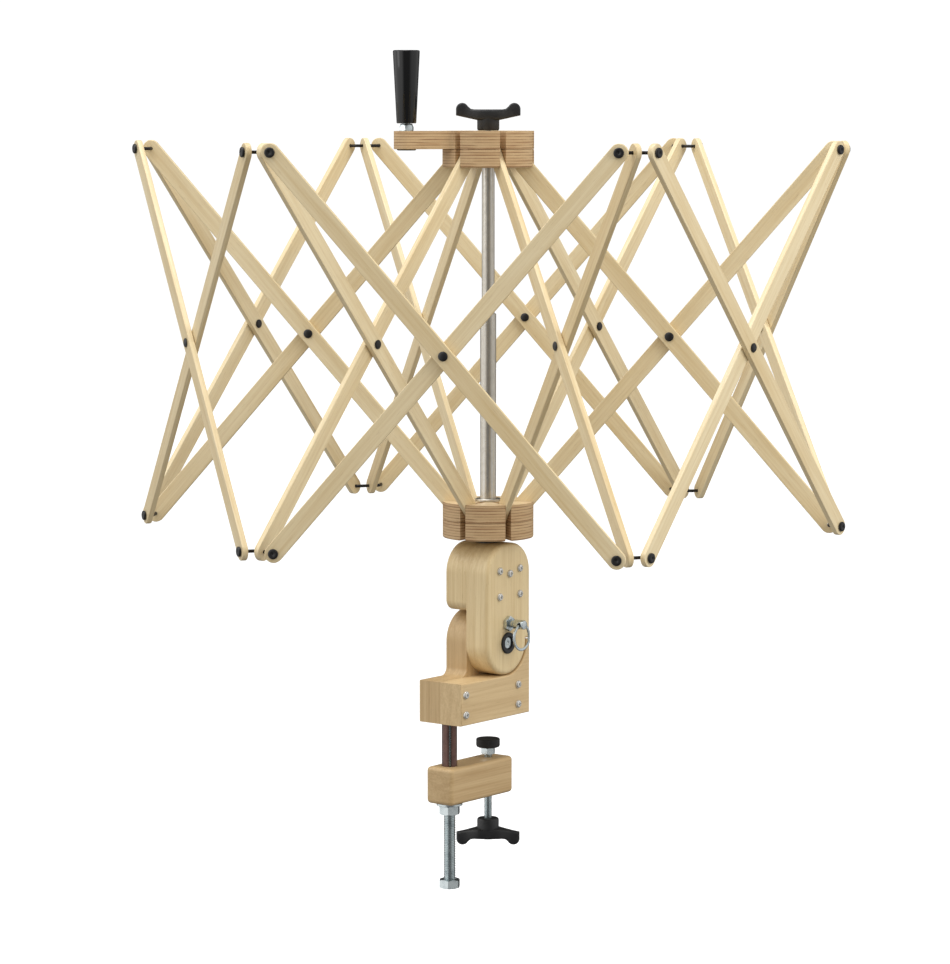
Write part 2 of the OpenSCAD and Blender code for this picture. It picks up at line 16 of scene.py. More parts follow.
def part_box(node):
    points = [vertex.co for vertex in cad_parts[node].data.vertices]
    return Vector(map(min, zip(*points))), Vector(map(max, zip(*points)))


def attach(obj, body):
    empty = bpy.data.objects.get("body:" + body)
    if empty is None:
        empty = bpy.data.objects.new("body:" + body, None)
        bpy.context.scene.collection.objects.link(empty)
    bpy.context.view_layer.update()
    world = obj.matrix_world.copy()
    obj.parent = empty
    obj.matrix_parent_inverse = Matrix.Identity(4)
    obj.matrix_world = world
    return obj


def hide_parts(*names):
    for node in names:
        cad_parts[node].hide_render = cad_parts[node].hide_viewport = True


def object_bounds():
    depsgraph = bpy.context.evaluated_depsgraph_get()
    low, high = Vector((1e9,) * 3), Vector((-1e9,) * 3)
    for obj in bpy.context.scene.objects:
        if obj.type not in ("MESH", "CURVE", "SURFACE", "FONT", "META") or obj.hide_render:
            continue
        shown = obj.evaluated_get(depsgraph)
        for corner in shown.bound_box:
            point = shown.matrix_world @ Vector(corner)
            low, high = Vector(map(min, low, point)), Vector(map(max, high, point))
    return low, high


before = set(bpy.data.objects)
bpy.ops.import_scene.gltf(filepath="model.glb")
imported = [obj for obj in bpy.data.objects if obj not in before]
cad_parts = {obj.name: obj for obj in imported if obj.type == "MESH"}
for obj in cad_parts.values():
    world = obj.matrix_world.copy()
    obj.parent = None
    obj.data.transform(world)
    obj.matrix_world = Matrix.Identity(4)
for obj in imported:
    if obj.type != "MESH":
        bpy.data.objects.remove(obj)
cad_low, cad_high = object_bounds()

# %% [markdown]
# ## Camera
# The picture was taken with a long lens, a little above the top hub and pitched down. A pitched camera with
# no shift keeps the other views honest, so its height, dip and distance are set and the shift stays at nil.

# %% Camera
VIEW_TURN = math.radians(37.5)  # how far the camera stands round from the front, towards +X
VIEW_FAR = 3.55
VIEW_HIGH = 0.607
VIEW_DIP = 0.1044
VIEW_ASIDE = 0.0037
FOCAL_PIXELS = 3561
PICTURE_HIGH = 964
SENSOR = 36

lens = bpy.data.cameras.new("photo_lens")
lens.sensor_width = SENSOR
lens.lens = FOCAL_PIXELS * SENSOR / PICTURE_HIGH
camera = bpy.data.objects.new("photo_camera", lens)
camera.location = (VIEW_FAR * math.sin(VIEW_TURN), -VIEW_FAR * math.cos(VIEW_TURN), VIEW_HIGH)
camera.rotation_euler = (math.pi / 2 - VIEW_DIP, 0, VIEW_TURN + VIEW_ASIDE)
bpy.context.scene.collection.objects.link(camera)
bpy.context.scene.camera = camera
print("camera", [round(c, 3) for c in camera.location], "lens", round(lens.lens, 1))

# %% [markdown]
# ## Helpers for nodes
# Materials and the surround are small node trees. Each helper adds one node, or a short chain, and hands back
# the socket that the next one needs.

# %% Node helpers
class Nodes:
    """A node tree, with short ways to add to it."""

    def __init__(self, tree):
        self.tree = tree

    def link(self, source, target):
        self.tree.links.new(source, target)

    def add(self, kind, inputs=(), **settings):
        """The outputs of a new node with its settings and inputs. An input is a value, or a socket to be linked."""
        made = self.tree.nodes.new("ShaderNode" + kind)
        for key, value in settings.items():
            setattr(made, key, value)
        for key, value in dict(inputs).items():
            if isinstance(value, bpy.types.NodeSocket):
                self.link(value, made.inputs[key])
            else:
                made.inputs[key].default_value = value
        return made.outputs

    def principled(self, inputs):
        self.add("OutputMaterial", {"Surface": self.add("BsdfPrincipled", inputs)["BSDF"]})

    def math(self, how, a, b):
        return self.add("Math", {0: a, 1: b}, operation=how)[0]

    def mix(self, share, a, b):
        return self.add("Mix", {0: share, 6: a, 7: b}, data_type="RGBA")[2]

    def noise(self, place, detail, rough=0.5, twist=0.0, scale=1.0):
        return self.add("TexNoise", {"Vector": place, "Scale": scale, "Detail": detail, "Roughness": rough,
                                     "Distortion": twist})["Fac"]

    def stretched(self, place, size, detail, rough=0.5, twist=0.0):
        spread = self.add("VectorMath", {0: place, 1: size}, operation="MULTIPLY")[0]
        return self.noise(spread, detail, rough, twist)

    def range(self, value, low, high, to_low, to_high, how="LINEAR"):
        return self.add("MapRange", {"Value": value, "From Min": low, "From Max": high, "To Min": to_low,
                                     "To Max": to_high}, interpolation_type=how)["Result"]

    def smooth(self, value, low, high, to_low=0.0, to_high=1.0):
        return self.range(value, low, high, to_low, to_high, "SMOOTHSTEP")


def new_material(name):
    made = bpy.data.materials.new(name)
    made.use_nodes = True
    made.node_tree.nodes.clear()
    return made, Nodes(made.node_tree)


print("node helpers ready")

# %% [markdown]
# ## Floor and light
# A plain pale floor and a white surround give soft studio light. The surround is white to the camera. For the
# pieces it is dimmer low down and to the right, so that round metal shows a bright and a dark side.

# %% Floor
FLOOR_DROP = 0.3
FLOOR_HALF = 9.0
FLOOR_WHITE = (0.93, 0.93, 0.925, 1)
FLOOR_GLOW = 0.4

floor_paint, floor = new_material("floor_paint")
floor_spots = floor.add("TexNoise", {"Scale": 3.0, "Detail": 4.0})["Fac"]
floor.principled({"Base Color": FLOOR_WHITE, "Roughness": floor.range(floor_spots, 0, 1, 0.75, 0.9),
                  "Emission Color": (1, 1, 1, 1), "Emission Strength": FLOOR_GLOW})

floor_bm = bmesh.new()
bmesh.ops.create_grid(floor_bm, x_segments=8, y_segments=8, size=FLOOR_HALF)
bmesh.ops.translate(floor_bm, verts=floor_bm.verts, vec=(0, 0, cad_low.z - FLOOR_DROP))
floor_mesh = bpy.data.meshes.new("studio_floor")
floor_bm.to_mesh(floor_mesh)
floor_bm.free()
floor_mesh.materials.append(floor_paint)
studio_floor = bpy.data.objects.new("studio_floor", floor_mesh)
bpy.context.scene.collection.objects.link(studio_floor)
studio_floor.visible_diffuse = False  # white to the eye, but no glare thrown up from below
studio_floor.visible_glossy = False
print("floor at", round(cad_low.z - FLOOR_DROP, 3))

# %% Surround and lamps
bpy.context.scene.view_settings.view_transform = "Standard"
bpy.context.scene.view_settings.look = "None"
DARK_FRONT, SEEN_WHITE = 0.28, 1.05
LEFTWARDS, ACROSS, BEHIND = (-0.75, -0.65, 0), (-0.793, -0.609, 0), (-0.609, 0.793, 0)
WALLS = ((0.3, 0.72, 1.2), (-0.4, -0.85, 0.65))  # where a wall starts and is full, and how bright it is

surround = bpy.data.worlds.new("studio_surround")
surround.use_nodes = True
surround.node_tree.nodes.clear()
sky = Nodes(surround.node_tree)
sky_place = sky.add("TexCoord")["Generated"]
sky_up = sky.add("SeparateXYZ", {"Vector": sky_place})["Z"]


def sky_towards(way):
    return sky.add("VectorMath", {0: sky_place, 1: way}, operation="DOT_PRODUCT")["Value"]


sky_light = sky.math("MULTIPLY", sky.range(sky_up, -0.35, 0.8, 0.36, 0.95),
                     sky.range(sky_towards(LEFTWARDS), -0.6, 0.9, 0.82, 1.12))
# What metal mirrors: a bright wall on the left, a dimmer one on the right, a dark front and a darker back.
sky_across = sky_towards(ACROSS)
sky_walls = DARK_FRONT
for start, full, bright in WALLS:
    sky_walls = sky.math("ADD", sky.smooth(sky_across, start, full, 0.0, bright), sky_walls)
sky_fade = sky.smooth(sky_towards(BEHIND), 0.35, 0.92, 1.0, 0.15)
sky_lift = sky.range(sky_up, -0.8, 0.5, 0.45, 1.05)
sky_mirror = sky.math("MULTIPLY", sky.math("MULTIPLY", sky_walls, sky_fade), sky_lift)
sky_ray = sky.add("LightPath")
sky_metal = sky.add("Mix", {0: sky_ray["Is Glossy Ray"], 2: sky_light, 3: sky_mirror})[0]
sky_mix = sky.add("Mix", {0: sky_ray["Is Camera Ray"], 2: sky_metal, 3: SEEN_WHITE})[0]
sky_back = sky.add("Background", {"Color": (1, 1, 1, 1), "Strength": sky_mix})
sky.add("OutputWorld", {"Surface": sky_back["Background"]})
bpy.context.scene.world = surround


def soft_lamp(name, place, aim, width, height, power):
    """A rectangular soft box that faces a point."""
    lamp = bpy.data.lights.new(name, "AREA")
    lamp.shape = "RECTANGLE"
    lamp.size, lamp.size_y = width, height
    lamp.energy = power
    stand = bpy.data.objects.new(name, lamp)
    stand.location = place
    stand.rotation_euler = (Vector(aim) - Vector(place)).to_track_quat("-Z", "Y").to_euler()
    bpy.context.scene.collection.objects.link(stand)
    return stand


MIDDLE = (0, 0, 0.32)
soft_lamp("lamp_over", (-0.2, -0.5, 2.4), MIDDLE, 1.8, 1.8, 28)
soft_lamp("lamp_left", (-1.4, -2.0, 1.5), MIDDLE, 1.0, 1.8, 7)
soft_lamp("lamp_right", (2.4, 0.3, 1.3), MIDDLE, 1.2, 1.8, 31).visible_glossy = False

# %% [markdown]
# ## Helpers for building
# Pieces are drawn in millimetres, as a maker's drawing is, and scaled to metres when they are settled. A
# piece is gathered from closed shells. Each shell is merged, placed and has its normals turned outwards.

# %% Helpers
MM = 0.001
FULL = 2 * math.pi
SHARP = math.radians(38)
MERGE = 0.002  # corners closer than this are one
LEVEL = 1e-4  # corners whose heights differ by less are level


def face_out(bm):
    """Turns every face outwards. The operator starts from the normals, so they are brought up to date first."""
    bm.normal_update()
    bmesh.ops.recalc_face_normals(bm, faces=bm.faces)


def gather(bm, shell, place=None):
    """Adds one closed shell to a piece."""
    bmesh.ops.remove_doubles(shell, verts=shell.verts, dist=MERGE)
    if place is not None:
        shell.transform(place)
    face_out(shell)
    step = bpy.data.meshes.new("step")
    shell.to_mesh(step)
    shell.free()
    bm.from_mesh(step)
    bpy.data.meshes.remove(step)


def settle(bm, name, finishes, body, nodes=(), weighted=False):
    """Makes the piece's object, lets it ride on its body and stand for its nodes, and says how it measures."""
    open_edges = sum(1 for e in bm.edges if not e.is_manifold)
    bm.transform(Matrix.Scale(MM, 4))
    for f in bm.faces:
        f.smooth = True
    for e in bm.edges:
        e.smooth = e.calc_face_angle(math.pi) < SHARP
    mesh = bpy.data.meshes.new(name)
    bm.to_mesh(mesh)
    bm.free()
    for finish in finishes:
        mesh.materials.append(finish)
    piece = bpy.data.objects.new(name, mesh)
    bpy.context.scene.collection.objects.link(piece)
    if weighted:
        even = piece.modifiers.new("even_faces", "WEIGHTED_NORMAL")
        even.keep_sharp = True
    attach(piece, body)
    off = 0.0
    if nodes:
        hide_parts(*nodes)
        corners = [Vector(c) for c in piece.bound_box]
        boxes = [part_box(n) for n in nodes]
        for i in range(3):
            low = min(c[i] for c in corners) - min(b[0][i] for b in boxes)
            high = max(c[i] for c in corners) - max(b[1][i] for b in boxes)
            off = max(off, abs(low), abs(high))
    mesh.calc_loop_triangles()
    print(f"{name}: {len(mesh.loop_triangles)} triangles, {open_edges} open edges, box off {off * 1000:.2f} mm")


def build(name, shells, finishes, body, nodes=(), weighted=False):
    """Gathers (shell, place) pairs into one piece and settles it."""
    bm = bmesh.new()
    for shell, place in shells:
        gather(bm, shell, place)
    settle(bm, name, finishes, body, nodes, weighted)


def turned(profile, steps=48, closed=False):
    """A shell turned on a lathe about z: profile is a list of (radius, height)."""
    bm = bmesh.new()
    corners = [bm.verts.new((r, 0, z)) for r, z in profile]
    ends = corners[1:] + corners[:1] if closed else corners[1:]
    edges = [bm.edges.new(pair) for pair in zip(corners, ends)]
    bmesh.ops.spin(bm, geom=corners + edges, cent=(0, 0, 0), axis=(0, 0, 1), angle=FULL, steps=steps,
                   use_merge=True)
    bmesh.ops.remove_doubles(bm, verts=bm.verts, dist=0.0005)
    return bm


def eased(radius, low, high, ease):
    """The profile of a rod whose rims are eased."""
    return [(0, low), (radius - ease, low), (radius, low + ease), (radius, high - ease), (radius - ease, high),
            (0, high)]


def arc(cx, cy, r, start, end, steps):
    """Points of an arc, angles in degrees."""
    angles = [math.radians(start + (end - start) * i / steps) for i in range(steps + 1)]
    return [(cx + r * math.cos(a), cy + r * math.sin(a)) for a in angles]


def move(x=0.0, y=0.0, z=0.0):
    return Matrix.Translation((x, y, z))


def turn(degrees, axis):
    return Matrix.Rotation(math.radians(degrees), 4, axis)


def round_edges(bm, edges, radius, segments):
    bmesh.ops.bevel(bm, geom=edges, offset=radius, offset_type="OFFSET", segments=segments, profile=0.5,
                    affect="EDGES", material=-1, clamp_overlap=False)


def sharp_edges(bm, least=60):
    return [e for e in bm.edges if e.is_manifold and e.calc_face_angle() > math.radians(least)]


def raise_faces(bm, vec):
    """Gives flat faces their thickness: they are extruded and the new side is moved."""
    grown = bmesh.ops.extrude_face_region(bm, geom=bm.faces[:])["geom"]
    bmesh.ops.translate(bm, verts=[g for g in grown if isinstance(g, bmesh.types.BMVert)], vec=vec)


def cut_from_board(outline, low, high, radius, segments, keep=lambda e: True):
    """A board sawn to an outline in the plane of x and y, as thick as low to high along z, with rounded edges."""
    bm = bmesh.new()
    bm.faces.new([bm.verts.new((x, y, low)) for x, y in outline])
    raise_faces(bm, (0, 0, high - low))
    face_out(bm)
    rims = [e for e in bm.edges if abs(e.verts[0].co.z - e.verts[1].co.z) < LEVEL and keep(e)]
    round_edges(bm, rims, radius, segments)
    return bm


def loose_object(name, bm):
    mesh = bpy.data.meshes.new(name)
    bm.to_mesh(mesh)
    bm.free()
    made = bpy.data.objects.new(name, mesh)
    bpy.context.scene.collection.objects.link(made)
    return made


def bored(shell, *drills):
    """A shell with the shapes of drills taken out of it, by a Boolean that is applied at once."""
    tools = bmesh.new()
    for drill in drills:
        gather(tools, drill)
    bmesh.ops.triangulate(shell, faces=[f for f in shell.faces if len(f.verts) > 4])
    block, bit = loose_object("bored_block", shell), loose_object("drill_bit", tools)
    cut = block.modifiers.new("bore", "BOOLEAN")
    cut.operation, cut.solver, cut.object = "DIFFERENCE", "EXACT", bit
    done = bmesh.new()
    done.from_object(block, bpy.context.evaluated_depsgraph_get())
    for used in (block, bit):
        bpy.data.meshes.remove(used.data)
    bmesh.ops.remove_doubles(done, verts=done.verts, dist=MERGE)
    return done


def straight_drill(radius, low, high, place):
    bm = turned([(0, low), (radius, low), (radius, high), (0, high)], 40)
    bm.transform(place)
    return bm


def set_grain(bm, place, tone_and_shade=0.0):
    """Stores where each corner lies in the tree: across in x and y, along the fibres in z, in metres, and a tone for
    each corner: random wood tone on the slats, partly painted shade on the boards.
    """
    grain = bm.verts.layers.float_vector.new("grain")
    shade = bm.verts.layers.float.new("tone_and_shade")
    for v in bm.verts:
        v[grain] = (place @ v.co) * MM
        v[shade] = tone_and_shade


print("helpers ready")

# %% [markdown]
# ## Wood
# The slats are pale maple under lacquer, the boards a warmer hardwood, the hubs plywood. The base boards and the jaw
# take a darker copy of the hardwood, which is painted shade on the low pieces. Each wooden piece carries a grain
# attribute, its own place in the tree, so fibres run along the piece however it is turned. It also carries a tone,
# random on the slats and partly painted shade on the boards.
# One node group draws the fibres: long streaks, broad bands and short dark pores, each from stretched noise.

# %% Fibre group
def new_group(name, sockets_in, sockets_out):
    tree = bpy.data.node_groups.new(name, "ShaderNodeTree")
    for way, sockets in (("INPUT", sockets_in), ("OUTPUT", sockets_out)):
        for kind, label in sockets:
            tree.interface.new_socket(name=label, in_out=way, socket_type="NodeSocket" + kind)
    return Nodes(tree), tree.nodes.new("NodeGroupInput").outputs, tree.nodes.new("NodeGroupOutput").inputs


SURFACE = [("Color", "Color"), ("Float", "Roughness"), ("Float", "Height")]  # what both groups give out
PORE_DEPTH = 0.35

fibre, fibre_in, fibre_out = new_group(
    "wood_fibres", [("Vector", "Grain"), ("Float", "Tone_and_shade"), ("Color", "Light"), ("Color", "Dark"), ("Color", "Pore"),
                    ("Float", "Figure")], SURFACE)
streaks = fibre.stretched(fibre_in["Grain"], (420, 620, 12), 5.0, 0.6, 0.3)
bands = fibre.stretched(fibre_in["Grain"], (45, 170, 3.5), 3.0, 0.5, 0.6)
pores = fibre.stretched(fibre_in["Grain"], (1500, 1500, 75), 2.0)
fleck = fibre.smooth(pores, 0.63, 0.74)
both = fibre.math("ADD", fibre.smooth(streaks, 0.3, 0.72, 0.0, 0.5), fibre.smooth(bands, 0.32, 0.7, 0.0, 0.5))
figured = fibre.math("MULTIPLY", both, fibre_in["Figure"])
# The tone pulls the wood towards its dark colour: random tone on the slats, partly painted shade on the boards.
tone_with_shade = fibre.math("ADD", figured, fibre_in["Tone_and_shade"])
tone_with_shade = fibre.add("Clamp", {"Value": tone_with_shade})[0]
wood_colour = fibre.mix(tone_with_shade, fibre_in["Light"], fibre_in["Dark"])
pore_share = fibre.math("MULTIPLY", fleck, PORE_DEPTH)
fibre.link(fibre.mix(pore_share, wood_colour, fibre_in["Pore"]), fibre_out["Color"])
fibre.link(fibre.smooth(streaks, 0.2, 0.8, 0.38, 0.52), fibre_out["Roughness"])
lifted = fibre.math("SUBTRACT", fibre.math("MULTIPLY", streaks, 0.6), fleck)
fibre.link(lifted, fibre_out["Height"])
print("fibre group", len(fibre.tree.nodes), "nodes")


# %% Wood finishes
FIBRE_BUMP, FIBRE_DEEP = 0.06, 0.0006


def tint(red, green, blue):
    """A colour as a painter would name it, 0 to 255, turned into linear light."""
    def linear(c):
        c = c / 255
        return c / 12.92 if c <= 0.04045 else ((c + 0.055) / 1.055) ** 2.4
    return (linear(red), linear(green), linear(blue), 1)


def wood_finish(name, light, dark, pore, figure, coat, lie=(0, 0, 0)):
    made, tree = new_material(name)
    place = tree.add("Attribute", attribute_name="grain")["Vector"]
    place = tree.add("Mapping", {"Vector": place, "Rotation": lie})["Vector"]
    # The per-corner tone, which on the boards holds painted shade.
    tone_and_shade = tree.add("Attribute", attribute_name="tone_and_shade")["Fac"]
    fibres = tree.add("Group", {"Light": tint(*light), "Dark": tint(*dark), "Pore": tint(*pore), "Figure": figure,
                                "Grain": place, "Tone_and_shade": tone_and_shade}, node_tree=fibre.tree)
    relief = tree.add("Bump", {"Strength": FIBRE_BUMP, "Distance": FIBRE_DEEP, "Height": fibres["Height"]})
    tree.principled({"Base Color": fibres["Color"], "Roughness": fibres["Roughness"],
                     "Normal": relief["Normal"], "Coat Weight": coat, "Coat Roughness": 0.25})
    return made


maple = wood_finish("slat_maple", (238, 221, 182), (207, 179, 126), (170, 136, 90), 0.75, 0.12)
hardwood = wood_finish("board_hardwood", (233, 211, 165), (201, 171, 118), (156, 122, 80), 0.72, 0.1)
# A darker copy of the hardwood for the post, cheek and jaw: painted shade, for the light that falls off low down and
# under the head.
base_wood_painted_shade = wood_finish("base_hardwood_painted_shade", (217, 189, 142), (182, 150, 103), (146, 112, 74), 0.72, 0.1)
veneer = wood_finish("hub_face_veneer", (232, 208, 166), (204, 172, 126), (160, 122, 82), 0.8, 0.1,
                     lie=(0, math.pi / 2, 0))
print("wood finishes", [m.name for m in (maple, hardwood, base_wood_painted_shade, veneer)])

# %% [markdown]
# ### Plywood edges
# On the rim of a hub the veneers show as stripes: every other sheet is cut across its fibres and looks darker,
# with a thin glue line between. The grain attribute's z is the height inside one disc, so stripes follow it.

# %% Plywood edge
SHEETS = 13
PLY_T = 18.0
WAVER = 0.0005  # how far the sheets wander, in metres

ply_edge, ply = new_material("hub_ply_edge")
ply_place = ply.add("Attribute", attribute_name="grain")["Vector"]
ply_up = ply.add("SeparateXYZ", {"Vector": ply_place})["Z"]
wobble = ply.math("MULTIPLY", ply.noise(ply_place, 2.0, scale=60.0), WAVER)
sheet = ply.math("MULTIPLY", ply.math("ADD", ply_up, wobble), SHEETS / (PLY_T * MM) / 2)
cross_sheet = ply.smooth(ply.math("PINGPONG", sheet, 0.5), 0.33, 0.4)
end_grain = ply.stretched(ply_place, (700, 700, 2400), 4.0)
patches = ply.stretched(ply_place, (40, 40, 420), 3.0)
sheets = ply.stretched(ply_place, (18, 18, 380), 2.0, 0.5, 0.4)
long_colour = ply.mix(end_grain, tint(213, 184, 141), tint(188, 154, 110))
dark_sheet = ply.smooth(sheets, 0.42, 0.68, 0.0, 0.55)
long_colour = ply.mix(dark_sheet, long_colour, tint(166, 125, 84))
cross_colour = ply.mix(end_grain, tint(152, 110, 70), tint(116, 79, 48))
patchy = ply.smooth(patches, 0.3, 0.66, 0.25, 1.0)
ply_colour = ply.mix(ply.math("MULTIPLY", cross_sheet, patchy), long_colour, cross_colour)
ply_rough = ply.smooth(end_grain, 0.2, 0.8, 0.5, 0.7)
ply_lift = ply.math("SUBTRACT", ply.math("MULTIPLY", end_grain, 0.4), cross_sheet)
ply_bump = ply.add("Bump", {"Strength": 0.15, "Distance": 0.0005, "Height": ply_lift})
ply.principled({"Base Color": ply_colour, "Roughness": ply_rough, "Normal": ply_bump["Normal"],
                "Coat Weight": 0.08, "Coat Roughness": 0.3})
print("ply sheets", SHEETS)

# %% [markdown]
# ## Metal and plastic
# The spindle is drawn aluminium, the fasteners are bright zinc, the wires and rivets are blackened, the knobs
# are moulded plastic and the crank handle is polished. One group gives each a fine surface: a mottle for tone
# and roughness, and a grain that can be drawn out along z for a tube.

# %% Surface group
SKIN_DEEP = 0.0002

skins, skin_in, skin_out = new_group(
    "surface_skin", [("Vector", "Place"), ("Vector", "Stretch"), ("Color", "Base"), ("Color", "Worn"),
                     ("Float", "Wear"), ("Float", "Smooth"), ("Float", "Rough")], SURFACE)
fine = skins.stretched(skin_in["Place"], skin_in["Stretch"], 4.0, 0.6)
mottle = skins.noise(skin_in["Place"], 5.0, 0.65, scale=140.0)
worn_share = skins.math("MULTIPLY", skins.smooth(mottle, 0.42, 0.7), skin_in["Wear"])
blend = skins.math("ADD", skins.math("MULTIPLY", fine, 0.6), skins.math("MULTIPLY", mottle, 0.4))
skin_rough = skins.range(blend, 0.3, 0.7, skin_in["Smooth"], skin_in["Rough"])
skins.link(skins.mix(worn_share, skin_in["Base"], skin_in["Worn"]), skin_out["Color"])
skins.link(skin_rough, skin_out["Roughness"])
skins.link(fine, skin_out["Height"])


def skin_finish(name, base, worn, wear, smooth, rough, metal, across, along, bump):
    """A metal or plastic: two colours, how worn, two roughnesses, how metallic, and its grain across and along z."""
    made, tree = new_material(name)
    place = tree.add("TexCoord")["Object"]
    skin = tree.add("Group", {"Stretch": (across, across, along), "Base": tint(*base),
                              "Worn": tint(*worn), "Wear": wear, "Smooth": smooth, "Rough": rough,
                              "Place": place}, node_tree=skins.tree)
    relief = tree.add("Bump", {"Strength": bump, "Distance": SKIN_DEEP, "Height": skin["Height"]})
    tree.principled({"Base Color": skin["Color"], "Roughness": skin["Roughness"],
                     "Normal": relief["Normal"], "Metallic": metal})
    return made


aluminium = skin_finish("drawn_aluminium", (204, 200, 191), (182, 178, 169), 0.5, 0.24, 0.38, 1.0, 2600, 30, 0.05)
zinc = skin_finish("bright_zinc", (206, 214, 215), (160, 172, 176), 0.6, 0.18, 0.34, 1.0, 900, 900, 0.05)
nickel = skin_finish("nickel_screw", (228, 226, 220), (196, 194, 188), 0.5, 0.14, 0.26, 0.75, 900, 900, 0.04)
wire_black = skin_finish("blackened_wire", (34, 32, 31), (66, 60, 55), 0.45, 0.32, 0.5, 0.4, 1500, 1500, 0.08)
cap_black = skin_finish("cap_black", (17, 16, 17), (36, 34, 34), 0.4, 0.34, 0.5, 0.0, 1800, 1800, 0.06)
knob_black = skin_finish("moulded_black", (27, 27, 28), (42, 42, 42), 0.5, 0.4, 0.56, 0.0, 2200, 2200, 0.16)
handle_black = skin_finish("polished_black", (7, 7, 8), (11, 11, 12), 0.4, 0.06, 0.11, 0.0, 500, 60, 0.01)
sleeve_brown = skin_finish("oiled_sleeve", (104, 78, 70), (66, 48, 44), 0.7, 0.22, 0.36, 0.6, 1400, 60, 0.08)
pad_black = skin_finish("pad_rubber", (30, 30, 31), (48, 47, 46), 0.6, 0.65, 0.82, 0.0, 2400, 2400, 0.25)
print("finishes", len(bpy.data.materials))

# %% [markdown]
# ## Slats
# All 24 slats are alike: round ends, a hole at each end and one in the middle, and softened edges. Half a slat
# is drawn as one flat face, from the outer edge to the middle line with its half holes. It is mirrored, given
# its thickness, and the outer rims are eased, which leaves the broad faces flat and clean.

# %% Slat blank
ARM_LEN = 488.0
SLAT_W = 17.0
SLAT_T = 5.5
HOLE_R = 1.9
SLAT_EDGE = 0.8


def mirrored_blank(outer, holes):
    """A flat blank in x and z from the outline of its +x half, first to last point, and (z, radius) of its holes."""
    bm = bmesh.new()
    path = list(outer)
    for z, r in sorted(holes, reverse=True):
        path += arc(0, z, r, 90, -90, 12)
    bm.faces.new([bm.verts.new((abs(x), 0, z)) for x, z in path])
    bmesh.ops.mirror(bm, geom=bm.verts[:] + bm.edges[:] + bm.faces[:], axis="X", merge_dist=0.001)
    return bm


def thicken(bm, thick):
    """Gives a flat blank its thickness along y, centred."""
    raise_faces(bm, (0, thick, 0))
    bmesh.ops.translate(bm, verts=bm.verts, vec=(0, -thick / 2, 0))
    face_out(bm)


def outer_rims(bm, holes):
    return [e for e in sharp_edges(bm)
            if all(math.hypot(v.co.x, v.co.z - z) > r + 0.1 for v in e.verts for z, r in holes)]


def slat_blank():
    half = SLAT_W / 2
    holes = [(z, HOLE_R) for z in (0.0, ARM_LEN / 2, ARM_LEN)]
    bm = mirrored_blank(arc(0, 0, half, -90, 0, 12) + arc(0, ARM_LEN, half, 0, 90, 12), holes)
    thicken(bm, SLAT_T)
    round_edges(bm, outer_rims(bm, holes), SLAT_EDGE, 3)
    return bm


trial = slat_blank()
print("slat faces", len(trial.faces), "volume cm3", round(trial.calc_volume() / 1000, 1))
trial.free()

# %% [markdown]
# ### Placing the slats
# Lower arms climb from the bottom hub to the top tips, upper arms fall from the top hub to the bottom tips, and
# two lattice slats cross in each chord between the tips. The black rivet at a crossing is a turned shell with a
# low domed head on each side.

# %% Slats and rivets
OPEN_ANGLE = 40.8
HUB_PIN_R = 22.0
ARM_OFF = 3.0
SLAT_GAP = 0.5
HALF_CHORD = 30.0
BEND_Y = 11.0 / math.cos(math.radians(HALF_CHORD))
IN_MID, OUT_MID = 5.152, 11.152
WIRE_R = 1.6
LOW_Z = 198.0
TOP_Z = LOW_Z + ARM_LEN * math.cos(math.radians(OPEN_ANGLE))
TIP_R = HUB_PIN_R + ARM_LEN * math.sin(math.radians(OPEN_ANGLE))
ARMS = range(1, 7)
draw = random.Random(11)


def at_arm(k):
    return turn(30 + 60 * (k - 1), "Z")


def rivet_shell():
    face, head, r = 6.15, 1.8, 4.5
    dome = [(0, face + head), (2.2, face + head - 0.15), (3.7, face + head - 0.6), (r, face + head - 1.35),
            (r, face + 0.15), (r - 0.15, face), (WIRE_R, face)]
    return turned(dome + [(x, -z) for x, z in reversed(dome)], 28)


def slat_piece(kind, k, place):
    shell = slat_blank()
    away = Vector([draw.uniform(-900, 900) for _ in range(3)])
    set_grain(shell, Matrix.Translation(away), draw.uniform(-0.1, 0.2))
    build(f"maple_{kind}_{k}", [(shell, place)], [maple], f"{kind}_{k}", [f"{kind}_{k}"], weighted=True)


def rivet_piece(kind, k, place, side):
    lie = place @ move(0, side * (SLAT_T + SLAT_GAP) / 2, ARM_LEN / 2) @ turn(90, "X")
    build(f"rivet_{kind}_{k}", [(rivet_shell(), lie)], [cap_black], f"{kind}_{k}")


for k in ARMS:
    lower = at_arm(k) @ move(HUB_PIN_R, ARM_OFF, LOW_Z) @ turn(OPEN_ANGLE, "Y")
    upper = at_arm(k) @ move(HUB_PIN_R, -ARM_OFF, TOP_Z) @ turn(180 - OPEN_ANGLE, "Y")
    outer = (at_arm(k) @ move(TIP_R, BEND_Y, TOP_Z) @ turn(HALF_CHORD, "Z") @ move(OUT_MID)
             @ turn(180 + OPEN_ANGLE, "X") @ turn(90, "Z"))
    inner = (at_arm(k + 1) @ move(TIP_R, -BEND_Y, TOP_Z) @ turn(-HALF_CHORD, "Z") @ move(IN_MID)
             @ turn(180 - OPEN_ANGLE, "X") @ turn(90, "Z"))
    slat_piece("lower_arm", k, lower)
    slat_piece("upper_arm", k, upper)
    slat_piece("lattice_out", k, outer)
    slat_piece("lattice_in", k, inner)
    rivet_piece("lower_arm", k, lower, -1)
    rivet_piece("lattice_out", k, outer, 1)

# %% [markdown]
# ### Tip pins
# A blackened wire goes through both arms at a tip, bends outwards on each side and carries a lattice slat under
# a pressed cap. A ring of corners is extruded along the wire and spun through each bend, which is how the wire
# itself is formed.

# %% Tip pins
BEND_R = 4.0
CAP_R = 4.8
CAP_T = 2.4
CAP_GAP = 0.4
WIRE_SIDES = 14


